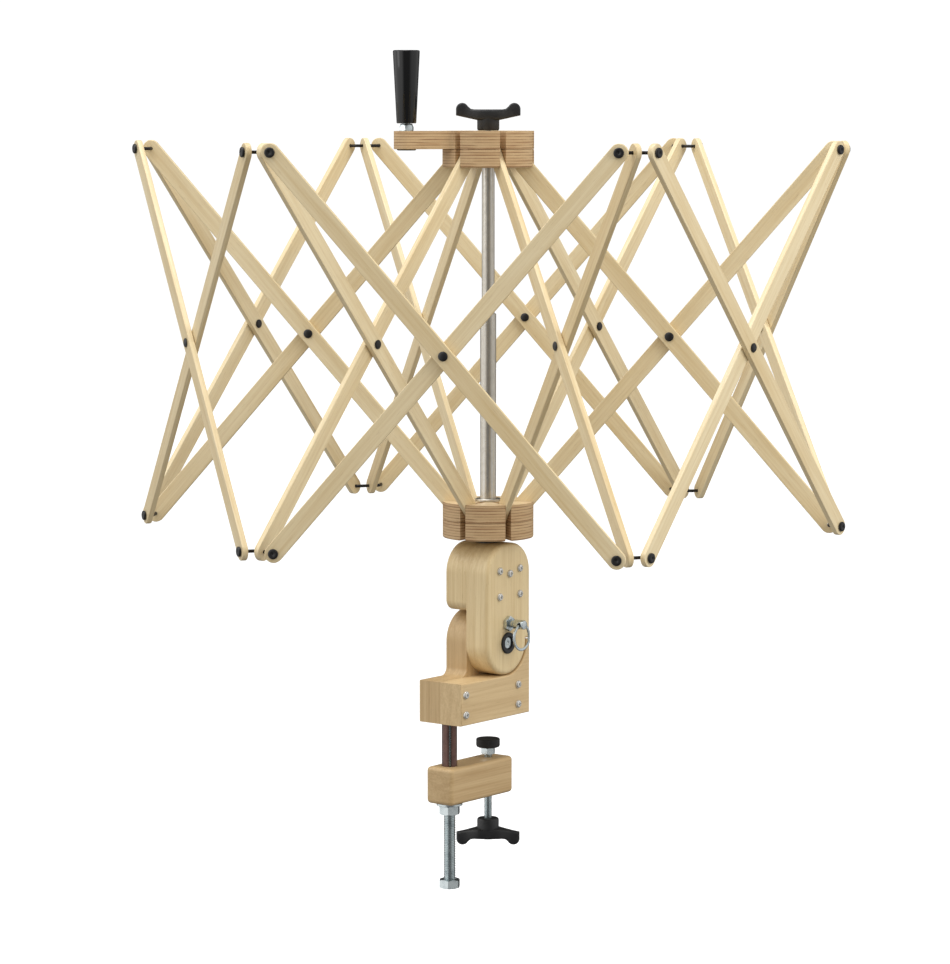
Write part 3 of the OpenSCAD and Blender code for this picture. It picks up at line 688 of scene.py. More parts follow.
def extrude_loop(bm, edges, vec):
    grown = bmesh.ops.extrude_edge_only(bm, edges=edges)["geom"]
    fresh = [v for v in grown if isinstance(v, bmesh.types.BMVert)]
    bmesh.ops.translate(bm, verts=fresh, vec=vec)
    return [e for e in bm.edges if all(v in fresh for v in e.verts)]


def half_wire(length):
    """Half a tip wire, from the middle out along y, round the bend and out to its end."""
    bm = bmesh.new()
    ring = bmesh.ops.create_circle(bm, radius=WIRE_R, segments=WIRE_SIDES, matrix=turn(90, "X"))["verts"]
    edges = list({e for v in ring for e in v.link_edges})
    bend = 90 - HALF_CHORD
    start = BEND_R * math.tan(math.radians(bend / 2))
    edges = extrude_loop(bm, edges, (0, BEND_Y - start, 0))
    corners = list({v for e in edges for v in e.verts})
    last = bmesh.ops.spin(bm, geom=corners + edges, cent=(BEND_R, BEND_Y - start, 0), axis=(0, 0, 1),
                          angle=math.radians(-bend), steps=7)["geom_last"]
    edges = [g for g in last if isinstance(g, bmesh.types.BMEdge)]
    out = Vector((math.cos(math.radians(HALF_CHORD)), math.sin(math.radians(HALF_CHORD)), 0))
    edges = extrude_loop(bm, edges, out * (length - start))
    bmesh.ops.edgeloop_fill(bm, edges=edges)
    return bm


def cap_shell():
    profile = [(0, 0), (CAP_R - 0.3, 0), (CAP_R, 0.3), (CAP_R, CAP_T - 0.9), (CAP_R - 0.3, CAP_T - 0.35),
               (CAP_R - 1.0, CAP_T), (1.9, CAP_T), (1.5, CAP_T - 0.3), (0.9, CAP_T - 0.9), (0, CAP_T - 1.1)]
    return turned(profile, 28)


def tip_pin_piece(name, k, z, plus_mid, minus_mid):
    at_tip = at_arm(k) @ move(TIP_R, 0, z)
    wire, caps = bmesh.new(), bmesh.new()
    for side, mid in ((1, plus_mid), (-1, minus_mid)):
        across = Matrix.Scale(side, 4, (0, 1, 0))
        face = mid + SLAT_T / 2 + CAP_GAP
        gather(wire, half_wire(face + CAP_T / 2), across)
        lie = at_tip @ across @ move(0, BEND_Y) @ turn(HALF_CHORD, "Z") @ move(face) @ turn(90, "Y")
        gather(caps, cap_shell(), lie)
    bmesh.ops.remove_doubles(wire, verts=wire.verts, dist=0.01)
    face_out(wire)
    wire.transform(at_tip)
    settle(wire, f"wire_{name}_{k}", [wire_black], f"{name}_{k}", [f"{name}_{k}"])
    settle(caps, f"caps_{name}_{k}", [cap_black], f"{name}_{k}")


for k in ARMS:
    tip_pin_piece("top_tip_pin", k, TOP_Z, OUT_MID, IN_MID)
    tip_pin_piece("bottom_tip_pin", k, LOW_Z, IN_MID, OUT_MID)

# %% [markdown]
# ## Hubs
# Each hub is two plywood discs with six slots that the slats fold into. One sector of a disc is a few corners
# and arcs; six turned copies are merged, raised to the disc's thickness, and the rim and slot edges eased. The
# top disc also reaches out as the crank arm. The hinge pins lie across the slots between the discs.

# %% Hub discs
HUB_R = 45.5
SLOT_W = 6.3
SLOT_IN = 12.7
GLUE = 0.15
CRANK_ANGLE = 240.0
CRANK_R = 87.0
CRANK_HALF = 12.5
CRANK_FILLET = 5.0
PLY_EDGE, UNDER_EDGE = 0.5, 1.4
PIN_GRIP = 5.0


def spun(points, degrees):
    a = math.radians(degrees)
    return [(x * math.cos(a) - y * math.sin(a), x * math.sin(a) + y * math.cos(a)) for x, y in points]


def crank_outline():
    """The rim where the crank arm leaves the disc, drawn along x, from its -y side round to its +y side."""
    along = math.sqrt((HUB_R + CRANK_FILLET) ** 2 - (CRANK_HALF + CRANK_FILLET) ** 2)
    across = CRANK_HALF + CRANK_FILLET
    leave = math.degrees(math.atan2(across, along))
    root = arc(along, across, CRANK_FILLET, 180 + leave, 270, 6)
    end = arc(CRANK_R, 0, CRANK_HALF, 90, -90, 24)
    path = root + end + [(x, -y) for x, y in reversed(root)]
    return path[::-1], leave


def sector(off, bore, crank=False):
    """One sixth of a disc from one slot's middle to the next, for an arm along x that is set off in y."""
    low, high = off - SLOT_W / 2, off + SLOT_W / 2
    def angle(y, r):
        return math.degrees(math.asin(y / r))
    def at(y, r):
        return (math.sqrt(r * r - y * y), y)
    start = [at(off, bore), (SLOT_IN, off), (SLOT_IN, high)]
    end = spun([at(low, HUB_R), (SLOT_IN, low), (SLOT_IN, off)], 60)
    if crank:
        path, leave = crank_outline()
        rim = (arc(0, 0, HUB_R, angle(high, HUB_R), 30 - leave, 5) + spun(path, 30)[1:]
               + arc(0, 0, HUB_R, 30 + leave, 60 + angle(low, HUB_R), 5)[1:])
    else:
        rim = arc(0, 0, HUB_R, angle(high, HUB_R), 60 + angle(low, HUB_R), 16)
    inner = arc(0, 0, bore, 60 + angle(off, bore), angle(off, bore), 10)
    return start + rim[:-1] + end + inner[:-1]


def hub_disc(off, bore, low, high, low_edge, crank=False):
    bm = bmesh.new()
    for k in ARMS:
        outline = spun(sector(off, bore, crank and k == 4), 30 + 60 * (k - 1))
        bm.faces.new([bm.verts.new((x, y, low)) for x, y in outline])
    bmesh.ops.remove_doubles(bm, verts=bm.verts, dist=0.01)
    raise_faces(bm, (0, 0, high - low))
    face_out(bm)
    for level, ease in ((low, low_edge), (high, PLY_EDGE)):
        rims = [e for e in sharp_edges(bm) if all(abs(v.co.z - level) < LEVEL for v in e.verts)
                and max(math.hypot(v.co.x, v.co.y) for v in e.verts) > bore + 1]
        round_edges(bm, rims, ease, 3)
    for f in bm.faces:
        f.material_index = 1 if abs(f.normal.z) > 0.95 else 0
    set_grain(bm, move(0, 0, -low))
    return bm


def hub_piece(name, body, z, side, bore, crank):
    off = side * ARM_OFF
    discs = [hub_disc(off, bore, -PLY_T, -GLUE, UNDER_EDGE), hub_disc(off, bore, GLUE, PLY_T, PLY_EDGE, crank)]
    build(f"plywood_{name}", [(disc, move(0, 0, z)) for disc in discs], [ply_edge, veneer], body, [name],
          weighted=True)
    half = SLOT_W / 2 + PIN_GRIP
    pins = [(turned(eased(WIRE_R, -half, half, 0.3), 16), at_arm(k) @ move(HUB_PIN_R, off, z) @ turn(90, "X"))
            for k in ARMS]
    build(f"hinge_pins_{name}", pins, [wire_black], body)


hub_piece("bottom_hub", "carrier", LOW_Z, 1, 8.1, False)
hub_piece("top_hub", "top_hub", TOP_Z, -1, 6.5, True)

# %% [markdown]
# ## Spindle
# Two drawn tubes slide in one another. Each is a closed profile turned on the lathe: the outer one has its plug,
# the groove for the stop screw and a collar on the bottom hub, and both have eased ends.

# %% Tubes
OUTER_R, INNER_R = 8.0, 6.4
BORE_R, INNER_BORE = 6.7, 4.8
SPINDLE_LOW, PLUG_TOP, OUTER_TOP = 117.6, 149.5, 404.0
GROOVE_Z, GROOVE_HALF, GROOVE_R = 144.7, 2.5, 5.5
COLLAR_R, COLLAR_T = 13.0, 2.6
HUB_TOP = TOP_Z + PLY_T
INNER_LOW = TOP_Z - 292

tube_shell = turned(
    [(0, SPINDLE_LOW), (OUTER_R - 0.8, SPINDLE_LOW), (OUTER_R, SPINDLE_LOW + 0.8), (OUTER_R, GROOVE_Z - GROOVE_HALF),
     (GROOVE_R, GROOVE_Z - GROOVE_HALF), (GROOVE_R, GROOVE_Z + GROOVE_HALF), (OUTER_R, GROOVE_Z + GROOVE_HALF),
     (OUTER_R, OUTER_TOP - 0.4), (OUTER_R - 0.4, OUTER_TOP), (BORE_R + 0.3, OUTER_TOP), (BORE_R, OUTER_TOP - 0.3),
     (BORE_R, PLUG_TOP), (0, PLUG_TOP)], 56)
collar_low = LOW_Z + PLY_T + 0.1
collar_top = collar_low + COLLAR_T
collar = turned(
    [(OUTER_R + 0.1, collar_low), (COLLAR_R - 0.3, collar_low), (COLLAR_R, collar_low + 0.3),
     (COLLAR_R, collar_top - 0.6), (COLLAR_R - 0.6, collar_top), (OUTER_R + 0.4, collar_top),
     (OUTER_R + 0.1, collar_top - 0.3)], 56, closed=True)
build("aluminium_outer_tube", [(tube_shell, None), (collar, None)], [aluminium], "carrier",
      ["outer_tube"])

inner_shell = turned(
    [(INNER_BORE, INNER_LOW + 0.3), (INNER_BORE + 0.3, INNER_LOW), (INNER_R - 0.4, INNER_LOW),
     (INNER_R, INNER_LOW + 0.4), (INNER_R, HUB_TOP - 0.5), (INNER_R - 0.4, HUB_TOP - 0.1),
     (INNER_BORE + 0.3, HUB_TOP - 0.1), (INNER_BORE, HUB_TOP - 0.4)], 48, closed=True)
build("aluminium_inner_tube", [(inner_shell, None)], [aluminium], "top_hub", ["inner_tube"])

# %% [markdown]
# ## Nuts, threads and screws
# A nut is a hexagon whose corners are turned off by a cone, so each flat ends in a curve. The hexagon's rim is
# divided and each corner lowered by how far it lies outside the flats. A thread is one profile spun with a rise
# at each step, cut level at both ends and closed. A screw head is a dome with a cross-shaped recess.

# %% Fastener helpers
M12_FLATS, M8_FLATS = 19.0, 13.0
M12_PITCH, M8_PITCH = 1.75, 1.25
CHAMFER = 0.46  # radius of a hexagon's flat face, as a share of its size across flats


def put_ring(edges, place):
    """Puts each corner of a loop where place says, from its angle."""
    for v in {v for e in edges for v in e.verts}:
        a = math.atan2(v.co.y, v.co.x)
        r, z = place(a)
        v.co = (r * math.cos(a), r * math.sin(a), z)


def ring_stack(places, segments, closed=True):
    """A shell of rings: each place gives radius and height by angle. A closed stack returns to its first ring."""
    bm = bmesh.new()
    first = bmesh.ops.create_circle(bm, radius=1, segments=segments)["verts"]
    edges = list({e for v in first for e in v.link_edges})
    put_ring(edges, places[0])
    for place in places[1:] + places[:1] * closed:
        edges = extrude_loop(bm, edges, (0, 0, 0))
        put_ring(edges, place)
    if closed:
        bmesh.ops.remove_doubles(bm, verts=bm.verts, dist=0.001)
    else:
        bmesh.ops.edgeloop_fill(bm, edges=edges)
        bmesh.ops.edgeloop_fill(bm, edges=[e for e in bm.edges if e.is_boundary])
    return bm


def circle(r, z):
    return lambda a: (r, z)


def hexagon(af, z, lean):
    """A hexagon across flats af, with its corners leaning away from the face at z."""
    def place(a):
        near = a % (math.pi / 3) - math.pi / 6
        r = af / 2 / math.cos(near)
        return r, z + lean * (r - af / 2) * 0.6
    return place


def hex_nut(af, thick, bore):
    rings = [hexagon(af, 0, 1), hexagon(af, thick, -1), circle(af * CHAMFER, thick), circle(bore + 0.7, thick),
             circle(bore, thick - 0.7), circle(bore, 0.7), circle(bore + 0.7, 0), circle(af * CHAMFER, 0)]
    return ring_stack(rings, 48)


def hex_head(af, thick):
    rings = [circle(af * CHAMFER, 0), hexagon(af, 0, 1), hexagon(af, thick, -1), circle(af * CHAMFER, thick)]
    return ring_stack(rings, 48, closed=False)


def threaded(radius, pitch, low, high, steps=20):
    bm = bmesh.new()
    root = radius - 0.56 * pitch
    start = low - pitch
    points = [(radius, 0), (radius, pitch * 0.15), (root, pitch * 0.5), (root, pitch * 0.65), (radius, pitch)]
    corners = [bm.verts.new((r, 0, start + z)) for r, z in points]
    edges = [bm.edges.new(pair) for pair in zip(corners, corners[1:])]
    turns = math.ceil((high - low) / pitch) + 2
    bmesh.ops.spin(bm, geom=corners + edges, cent=(0, 0, 0), axis=(0, 0, 1), dvec=(0, 0, pitch / steps),
                   angle=FULL * turns, steps=steps * turns)
    bmesh.ops.remove_doubles(bm, verts=bm.verts, dist=0.02)
    for level, way in ((low, -1), (high, 1)):
        bmesh.ops.bisect_plane(bm, geom=bm.verts[:] + bm.edges[:] + bm.faces[:], dist=0.0005, plane_co=(0, 0, level),
                               plane_no=(0, 0, way), clear_outer=True)
    bmesh.ops.holes_fill(bm, edges=[e for e in bm.edges if e.is_boundary], sides=0)
    return bm


def cross_recess(size, z):
    """A cross-shaped ring: two bars laid over each other."""
    half, arm = size * 0.26, size
    def place(a):
        c, s = abs(math.cos(a)) + 1e-9, abs(math.sin(a)) + 1e-9
        return max(min(arm / c, half / s), min(arm / s, half / c)), z
    return place


def pan_head(radius, thick):
    rings = [circle(radius - 0.25, 0), circle(radius, 0.25), circle(radius, thick * 0.35),
             circle(radius * 0.9, thick * 0.72), circle(radius * 0.72, thick * 0.93), circle(radius * 0.6, thick),
             cross_recess(radius * 0.5, thick), cross_recess(radius * 0.42, thick * 0.45)]
    return ring_stack(rings, 48, closed=False)


print("fastener helpers ready")

# %% [markdown]
# ## Knobs and crank handle
# The wing knob is moulded: a bar whose ends swell into raised tips, on a round stem. Its outline is sawn as a
# board is, with generous rounded edges, sliced across and thickened towards the middle, and the stem is turned.
# The handle is one tapered turning with a crisp flat top.

# %% Wing knob
KNOB_TURN = 37.5
KNOB_HALF_T = 5.0
SLICES = [x for x in range(-26, 27, 4) if abs(x) > 2]
SWELL, SWELL_OUT, SWELL_OVER = 1.2, 26, 20  # how much thicker the middle is, where that starts, and over what length


def knob_shells():
    half = [(11.0, 10.2), (32.0, 14.8), (32.0, 19.0)]
    half += arc(25.8, 21.0, 6.25, -6, 152, 12) + [(17.4, 21.4), (14.0, 20.8)]
    outline = half + [(-x, z) for x, z in reversed(half)]
    wings = cut_from_board(outline, -KNOB_HALF_T, KNOB_HALF_T, 2.0, 4)
    for x in SLICES:
        bmesh.ops.bisect_plane(wings, geom=wings.verts[:] + wings.edges[:] + wings.faces[:], dist=0.001,
                               plane_co=(x, 0, 0), plane_no=(1, 0, 0))
    for v in wings.verts:
        near = min(1.0, max(0.0, (SWELL_OUT - abs(v.co.x)) / SWELL_OVER))
        v.co.z *= 1 + SWELL * near * near * (3 - 2 * near)
    wings.transform(turn(90, "X"))
    stem = turned([(0, 0), (9.9, 0), (10.6, 0.6), (11.0, 1.6), (11.0, 9.6), (11.0, 18.4),
                   (10.4, 20.0), (9.0, 20.8), (0, 20.8)], 48)
    return wings, stem


def knob_piece(name, node, body, place):
    build(name, [(shell, place) for shell in knob_shells()], [knob_black], body, [node])


knob_piece("wing_knob_top", "top_knob", "lock_knob", move(0, 0, HUB_TOP + 0.3) @ turn(KNOB_TURN, "Z"))
JAW_LOW = -81.0
KNOB_Z = JAW_LOW - 25.5
knob_piece("wing_knob_clamp", "clamp_knob", "clamp_screw",
           move(0, 0, KNOB_Z) @ turn(180, "X") @ turn(-KNOB_TURN, "Z"))

# %% Draw rod and cone inside the spindle
CONE_LOW = INNER_LOW - 14.3
CONE_TOP = CONE_LOW + 14
CONE_R, DRAW_R = 6.3, 3.0
draw_top = HUB_TOP + 16
draw_rod = turned([(0, CONE_LOW), (4.6, CONE_LOW), (CONE_R, CONE_LOW + 2), (CONE_R, CONE_LOW + 9), (5.0, CONE_TOP),
                   (DRAW_R, CONE_TOP), (DRAW_R, draw_top), (0, draw_top)], 32)
build("draw_rod_and_cone", [(draw_rod, None)], [zinc], "lock_knob")

# %% Crank handle and its stud
GRIP_LOW, GRIP_H = HUB_TOP + 7.4, 71.5
GRIP_FOOT, GRIP_TOP = 9.75, 13.25
GRIP_BORE = 53.8
STUD_R = 4.0
at_crank = turn(CRANK_ANGLE, "Z") @ move(CRANK_R)

grip_end = GRIP_LOW + GRIP_H
bore_end = GRIP_LOW + GRIP_BORE
handle = turned(
    [(0, bore_end), (STUD_R + 0.3, bore_end), (STUD_R + 0.3, GRIP_LOW + 0.3), (STUD_R + 0.7, GRIP_LOW),
     (GRIP_FOOT - 0.9, GRIP_LOW), (GRIP_FOOT - 0.25, GRIP_LOW + 0.3), (GRIP_FOOT, GRIP_LOW + 1.0),
     (GRIP_TOP, grip_end - 1.6), (GRIP_TOP - 0.15, grip_end - 0.7), (GRIP_TOP - 0.8, grip_end - 0.15),
     (GRIP_TOP - 1.6, grip_end), (0, grip_end)], 64)
build("turned_crank_handle", [(handle, at_crank)], [handle_black], "handle", ["crank_handle"])

STUD_LOW, STUD_TOP = HUB_TOP - 17, HUB_TOP + 60.5
stud = turned(eased(STUD_R, STUD_LOW, STUD_TOP, 0.4), 24)
stud_nut = ring_stack([hexagon(M8_FLATS, 0, 1), hexagon(M8_FLATS, 4.4, -1), circle(5.7, 7.0),
                       circle(STUD_R + 0.7, 7.0), circle(STUD_R + 0.05, 6.3), circle(STUD_R + 0.05, 0.7),
                       circle(STUD_R + 0.7, 0), circle(5.9, 0)], 48)
stud_foot = turned([(0, TOP_Z - 1.1), (8.6, TOP_Z - 1.1), (9.4, TOP_Z - 0.5), (9.4, TOP_Z + 0.1),
                    (0, TOP_Z + 0.1)], 32)
for f in stud_foot.faces:
    f.material_index = 1
build("zinc_handle_stud", [(stud, at_crank), (stud_nut, at_crank @ move(0, 0, HUB_TOP + 0.1)), (stud_foot, at_crank)],
      [zinc, wire_black], "top_hub", ["handle_stud"])

# %% [markdown]
# ## Tilting head and base
# Four boards sawn to outlines: the head's block and round-ended plate, and the base's post and cheek. All are
# drawn in the plane of y and z and stood up. Their edges are well rounded, as if sanded over, apart from the
# faces where two boards are glued together. A Boolean drills them for the spindle, the pivot and the index pin.

# %% Boards
BOARD_T = 27.0
PLATE_R, ROUND_R = 35.5, 32.4
PIVOT_Y, PIVOT_Z = -3.1, 75.0
PLATE_TOP, CORNER_R = 175.0, 30.0
BLOCK_Z, HEEL_R = 107.6, 10.0
POST_R, ROOT_R = 31.8, 8.0
FOOT_H = 42.0
FOOT_FRONT, FOOT_BACK = 78.0, 34.0
SEAT_R, SHOULDER_Z = 33.1, 75.7
STAND = Matrix(((0, 0, 1, 0), (1, 0, 0, 0), (0, 1, 0, 0), (0, 0, 0, 1)))  # drawing's x, y, thickness to y, z, x


def board_piece(name, node, body, wood, outline, low, high, glued_at, radius, fibres, tone_and_shade, drills=()):
    shell = cut_from_board(outline, low, high, radius, 5, lambda e: abs(e.verts[0].co.z - glued_at) > 0.2)
    if drills:
        shell = bored(shell, *drills)
    # The tone given to each board is partly painted shade.
    set_grain(shell, fibres, tone_and_shade)
    build(name, [(shell, STAND)], [wood], body, [node], weighted=True)


UPRIGHT = turn(90, "X") @ move(400, 30, 12)  # fibres along the drawing's y
LENGTHWISE = turn(90, "Z") @ turn(-90, "Y") @ move(-200, 140, 55)  # fibres along the drawing's x

BUSH_HOLE, SHAFT_HOLE, BUSH_LEN = 10.6, 8.8, 14.1
PIVOT_HOLE, PIVOT_BUSH_HOLE, BARREL_HOLE = 6.1, 8.1, 6.1
INDEX_UP = 19.8
INDEX_HOLE, INDEX_DEEP = 2.95, 6.5


def spindle_drill():
    """The stepped bore that the two halves of the head share, drawn along the drawing's y."""
    low_step, high_step = SPINDLE_LOW + BUSH_LEN, PLATE_TOP - BUSH_LEN
    bm = turned([(0, SPINDLE_LOW - 1), (BUSH_HOLE, SPINDLE_LOW - 1), (BUSH_HOLE, low_step), (SHAFT_HOLE, low_step),
                 (SHAFT_HOLE, high_step), (BUSH_HOLE, high_step), (BUSH_HOLE, PLATE_TOP + 5), (0, PLATE_TOP + 5)], 40)
    bm.transform(turn(-90, "X"))
    return bm


at_pin = move(PIVOT_Y, PIVOT_Z)
plate_drills = [spindle_drill(), straight_drill(PIVOT_BUSH_HOLE, -1, BOARD_T + 1, at_pin),
                straight_drill(BARREL_HOLE, -1, BOARD_T + 1, at_pin @ move(0, INDEX_UP))]
post_drills = [straight_drill(PIVOT_HOLE, -BOARD_T - 1, 1, at_pin)] + [
    straight_drill(INDEX_HOLE, -INDEX_DEEP, 1, at_pin @ turn(a, "Z") @ move(0, INDEX_UP)) for a in (0, 90)]

crown_z = PLATE_TOP - CORNER_R
crown = (arc(PLATE_R - CORNER_R, crown_z, CORNER_R, 0, 90, 20)
         + arc(CORNER_R - PLATE_R, crown_z, CORNER_R, 90, 180, 20))
block_outline = [(PLATE_R, BLOCK_Z)] + crown + arc(HEEL_R - PLATE_R, BLOCK_Z + HEEL_R, HEEL_R, 180, 270, 10)
board_piece("board_tilt_block", "tilt_block", "tilt_head", hardwood, block_outline, -BOARD_T, -0.1, -0.1, 3.0,
            UPRIGHT, 0.02, [spindle_drill()])

shoulder_a = math.degrees(math.asin((SHOULDER_Z - PIVOT_Z) / ROUND_R))
plate_outline = crown + arc(PIVOT_Y, PIVOT_Z, ROUND_R, 180, 360 + shoulder_a, 40) + [(PLATE_R, SHOULDER_Z)]
board_piece("board_tilt_plate", "tilt_plate", "tilt_head", hardwood, plate_outline, 0, BOARD_T, 0.0, 4.6,
            UPRIGHT @ move(70, 15, 9), -0.05, plate_drills)

foot_line = [(-FOOT_FRONT, 0), (FOOT_BACK, 0)]
post_outline = (foot_line + [(FOOT_BACK, PIVOT_Z + POST_R)] + arc(PIVOT_Y, PIVOT_Z, POST_R, 90, 180, 24)
                + arc(PIVOT_Y - POST_R - ROOT_R, FOOT_H + ROOT_R, ROOT_R, 0, -90, 8) + [(-FOOT_FRONT, FOOT_H)])
# The post's tone of 0.3 is painted shade under the tilting head.
board_piece("board_base_post", "base_post_board", "base", base_wood_painted_shade, post_outline, -BOARD_T, -0.1, -0.1, 2.0,
            UPRIGHT @ move(-120, 33, 40), 0.3, post_drills)

# The cheek is in the darker base wood too, which is painted shade.
cheek_outline = (foot_line + [(FOOT_BACK, PIVOT_Z)] + arc(PIVOT_Y, PIVOT_Z, SEAT_R, 0, -90, 24)
                 + [(-FOOT_FRONT, FOOT_H)])
board_piece("board_base_cheek", "base_cheek_board", "base", base_wood_painted_shade, cheek_outline, 0, BOARD_T, 0.0, 1.6,
            LENGTHWISE, -0.08)

# %% Screws in the boards
HEAD_SCREWS = [(y, z) for y in (-16.5, 16.5) for z in (122.7, 148.7)]
FOOT_SCREWS = [(y, z) for y in (-71.6, 14.0) for z in (11.0, 31.0)]
SCREW_R, SCREW_LEN = 2.0, 46.0


def screw_shells(length, tilt):
    shank = turned([(0, -length), (0.4, -length), (SCREW_R, -length + 5), (SCREW_R, 0.3), (0, 0.3)], 16)
    head = pan_head(4.0, 2.6)
    head.transform(move(0, 0, 0.1) @ turn(tilt, "Z"))
    return shank, head


def screws_piece(name, node, body, places):
    shells = [(shell, move(BOARD_T, y, z) @ turn(90, "Y")) for i, (y, z, length) in enumerate(places)
              for shell in screw_shells(length, 17 + 41 * i)]
    build(name, shells, [nickel], body, [node])


screws_piece("zinc_tilt_screws", "tilt_screws", "tilt_head",
             [(y, z, SCREW_LEN) for y, z in HEAD_SCREWS] + [(0, GROOVE_Z, BOARD_T - GROOVE_R - 0.6)])
screws_piece("zinc_base_screws", "base_screws", "base", [(y, z, SCREW_LEN) for y, z in FOOT_SCREWS])

# %% [markdown]
# ## Pivot, index plunger and ring
# The head tips on a bolt in a black flanged bush. Above it a sprung plunger with a hexagon locks the tilt, and
# a wire ring hangs in the eye of its pin.

# %% Pivot bolt and bushes
along_x = turn(90, "Y")
at_pivot = move(0, PIVOT_Y, PIVOT_Z) @ along_x
bolt = turned([(0, -28.0), (6.0, -28.0), (6.0, 26.6), (5.4, 27.3), (2.4, 27.3), (1.6, 26.5), (0, 26.2)], 40)
build("zinc_pivot_bolt", [(bolt, at_pivot), (hex_head(M12_FLATS, 7.0), at_pivot @ move(0, 0, -34.1))], [zinc], "base",
      ["pivot_bolt"])


def flanged_bush(bore, wall, length, flange, thick):
    top = length + thick
    return turned([(bore, 0.4), (bore + 0.4, 0), (wall, 0), (wall, length), (flange - 0.4, length),
                   (flange, length + 0.4), (flange, top - 0.7), (flange - 0.7, top), (bore + 0.6, top),
                   (bore, top - 0.6)], 40, closed=True)


BUSH_BORE, BUSH_WALL, LOW_BUSH_TOP = 8.3, 10.5, SPINDLE_LOW + 14
low_bush = turned([(BUSH_BORE, SPINDLE_LOW), (BUSH_WALL, SPINDLE_LOW), (BUSH_WALL, LOW_BUSH_TOP),
                   (BUSH_BORE, LOW_BUSH_TOP)], 40, closed=True)
build("black_bushes", [(flanged_bush(6.3, 8.0, 26.8, 10.8, 2.0), at_pivot @ move(0, 0, 0.3)),
                       (flanged_bush(BUSH_BORE, BUSH_WALL, BUSH_LEN, 13.5, 2.5), move(0, 0, PLATE_TOP - 14)),
                       (low_bush, None)], [knob_black], "tilt_head", ["head_bushes"])

# %% Plunger and ring
INDEX_Z = PIVOT_Z + INDEX_UP
EYE_X, EYE_HOLE = 44.7, 2.55
RING_R, RING_WIRE = 12.5, 1.4
COIL_STEPS = 128
at_index = move(0, PIVOT_Y, INDEX_Z) @ along_x

barrel = turned([(2.8, 9.0), (6.0, 9.0), (6.0, 26.8), (3.7, 27.4), (3.7, 35.7), (3.3, 36.1), (2.8, 36.1)], 32,
                closed=True)
build("zinc_plunger_barrel", [(hex_nut(13.5, 4.0, 3.6), at_index @ move(0, 0, BOARD_T + 0.1)), (barrel, at_index)],
      [zinc], "tilt_head", ["plunger_body"])

pin = bmesh.new()
gather(pin, turned([(0, 0.8), (1.8, 0.8), (2.5, 1.6), (2.5, 41.0), (4.0, 41.0), (4.0, 36.1), (4.2, 35.9), (4.4, 35.9),
                    (4.7, 36.3), (4.7, 47.4), (4.3, 48.2), (3.4, 48.6), (0, 48.6)], 40), at_index)
pin = bored(pin, straight_drill(EYE_HOLE, -6, 6, move(EYE_X, PIVOT_Y, INDEX_Z) @ turn(90, "X")))
settle(pin, "zinc_plunger_pin", [zinc], "plunger", ["plunger_pin"])

# The ring is sprung wire coiled twice, so its two coils lie side by side and a step shows where each ends.
coil = bmesh.new()
wire = bmesh.ops.create_circle(coil, radius=RING_WIRE, segments=14,
                               matrix=move(RING_R, 0, -RING_WIRE / 2) @ turn(90, "X"))["verts"]
for v in wire:
    v.co.z = -RING_WIRE / 2 + (v.co.z + RING_WIRE / 2) / 2
wire_edges = list({e for v in wire for e in v.link_edges})
bmesh.ops.edgeloop_fill(coil, edges=wire_edges)
coil_end = bmesh.ops.spin(coil, geom=wire + wire_edges, cent=(0, 0, 0), axis=(0, 0, 1),
                          dvec=(0, 0, RING_WIRE / COIL_STEPS), angle=2 * FULL, steps=COIL_STEPS)["geom_last"]
bmesh.ops.edgeloop_fill(coil, edges=[g for g in coil_end if isinstance(g, bmesh.types.BMEdge)])
at_eye = move(EYE_X, PIVOT_Y, INDEX_Z - RING_R) @ along_x @ turn(70, "Z")
build("zinc_pull_ring", [(coil, at_eye)], [zinc], "ring", ["pull_ring"])

# %% [markdown]
# ## Clamp
# A threaded rod hangs from the foot inside a slit sleeve. A wooden jaw slides on the sleeve and a nut holds it,
# and a screw with a wing knob lifts a pad against the table. The jaw is a mirrored blank with two holes, made as
# the slats are, with rounder edges.

# %% Rod, end nut and sleeve
ROD_Y = 63.0
ROD_R = 6.0
ROD_LOW, ROD_TOP = -168.2, 34.0
SLEEVE_LOW, SLEEVE_TOP = -56.0, 4.9
SLEEVE_R, SLEEVE_BORE = 7.6, 6.1
SLIT_W = 2.5
SLIT_TURN = 43.0
at_rod = move(0, -ROD_Y)

build("zinc_clamp_rod", [(threaded(ROD_R, M12_PITCH, ROD_LOW, ROD_TOP), at_rod),
                         (hex_nut(M12_FLATS, 8.8, ROD_R + 0.05), at_rod @ move(0, 0, ROD_LOW + 0.8))],
      [zinc], "base", ["clamp_rod"])

sleeve = bmesh.new()
profile = [(SLEEVE_BORE, SLEEVE_LOW), (SLEEVE_R - 0.3, SLEEVE_LOW), (SLEEVE_R, SLEEVE_LOW + 0.3),
           (SLEEVE_R, SLEEVE_TOP - 0.3), (SLEEVE_R - 0.3, SLEEVE_TOP), (SLEEVE_BORE, SLEEVE_TOP)]
corners = [sleeve.verts.new((r, 0, z)) for r, z in profile]
wall = sleeve.faces.new(corners)
slit = 2 * math.asin(SLIT_W / 2 / SLEEVE_R)
bmesh.ops.spin(sleeve, geom=[wall] + wall.edges[:] + corners, cent=(0, 0, 0), axis=(0, 0, 1), angle=FULL - slit,
               steps=40)
face_out(sleeve)
sleeve.transform(at_rod @ turn(-90 + SLIT_TURN, "Z") @ turn(math.degrees(slit / 2), "Z"))
settle(sleeve, "slit_sleeve", [sleeve_brown], "base")

# %% Jaw, nut and washer
JAW_TOP = -44.0
JAW_HALF = 16.5
JAW_FRONT, JAW_BACK = 80.5, 21.0
JAW_CORNER, JAW_EDGE = 4.5, 4.0

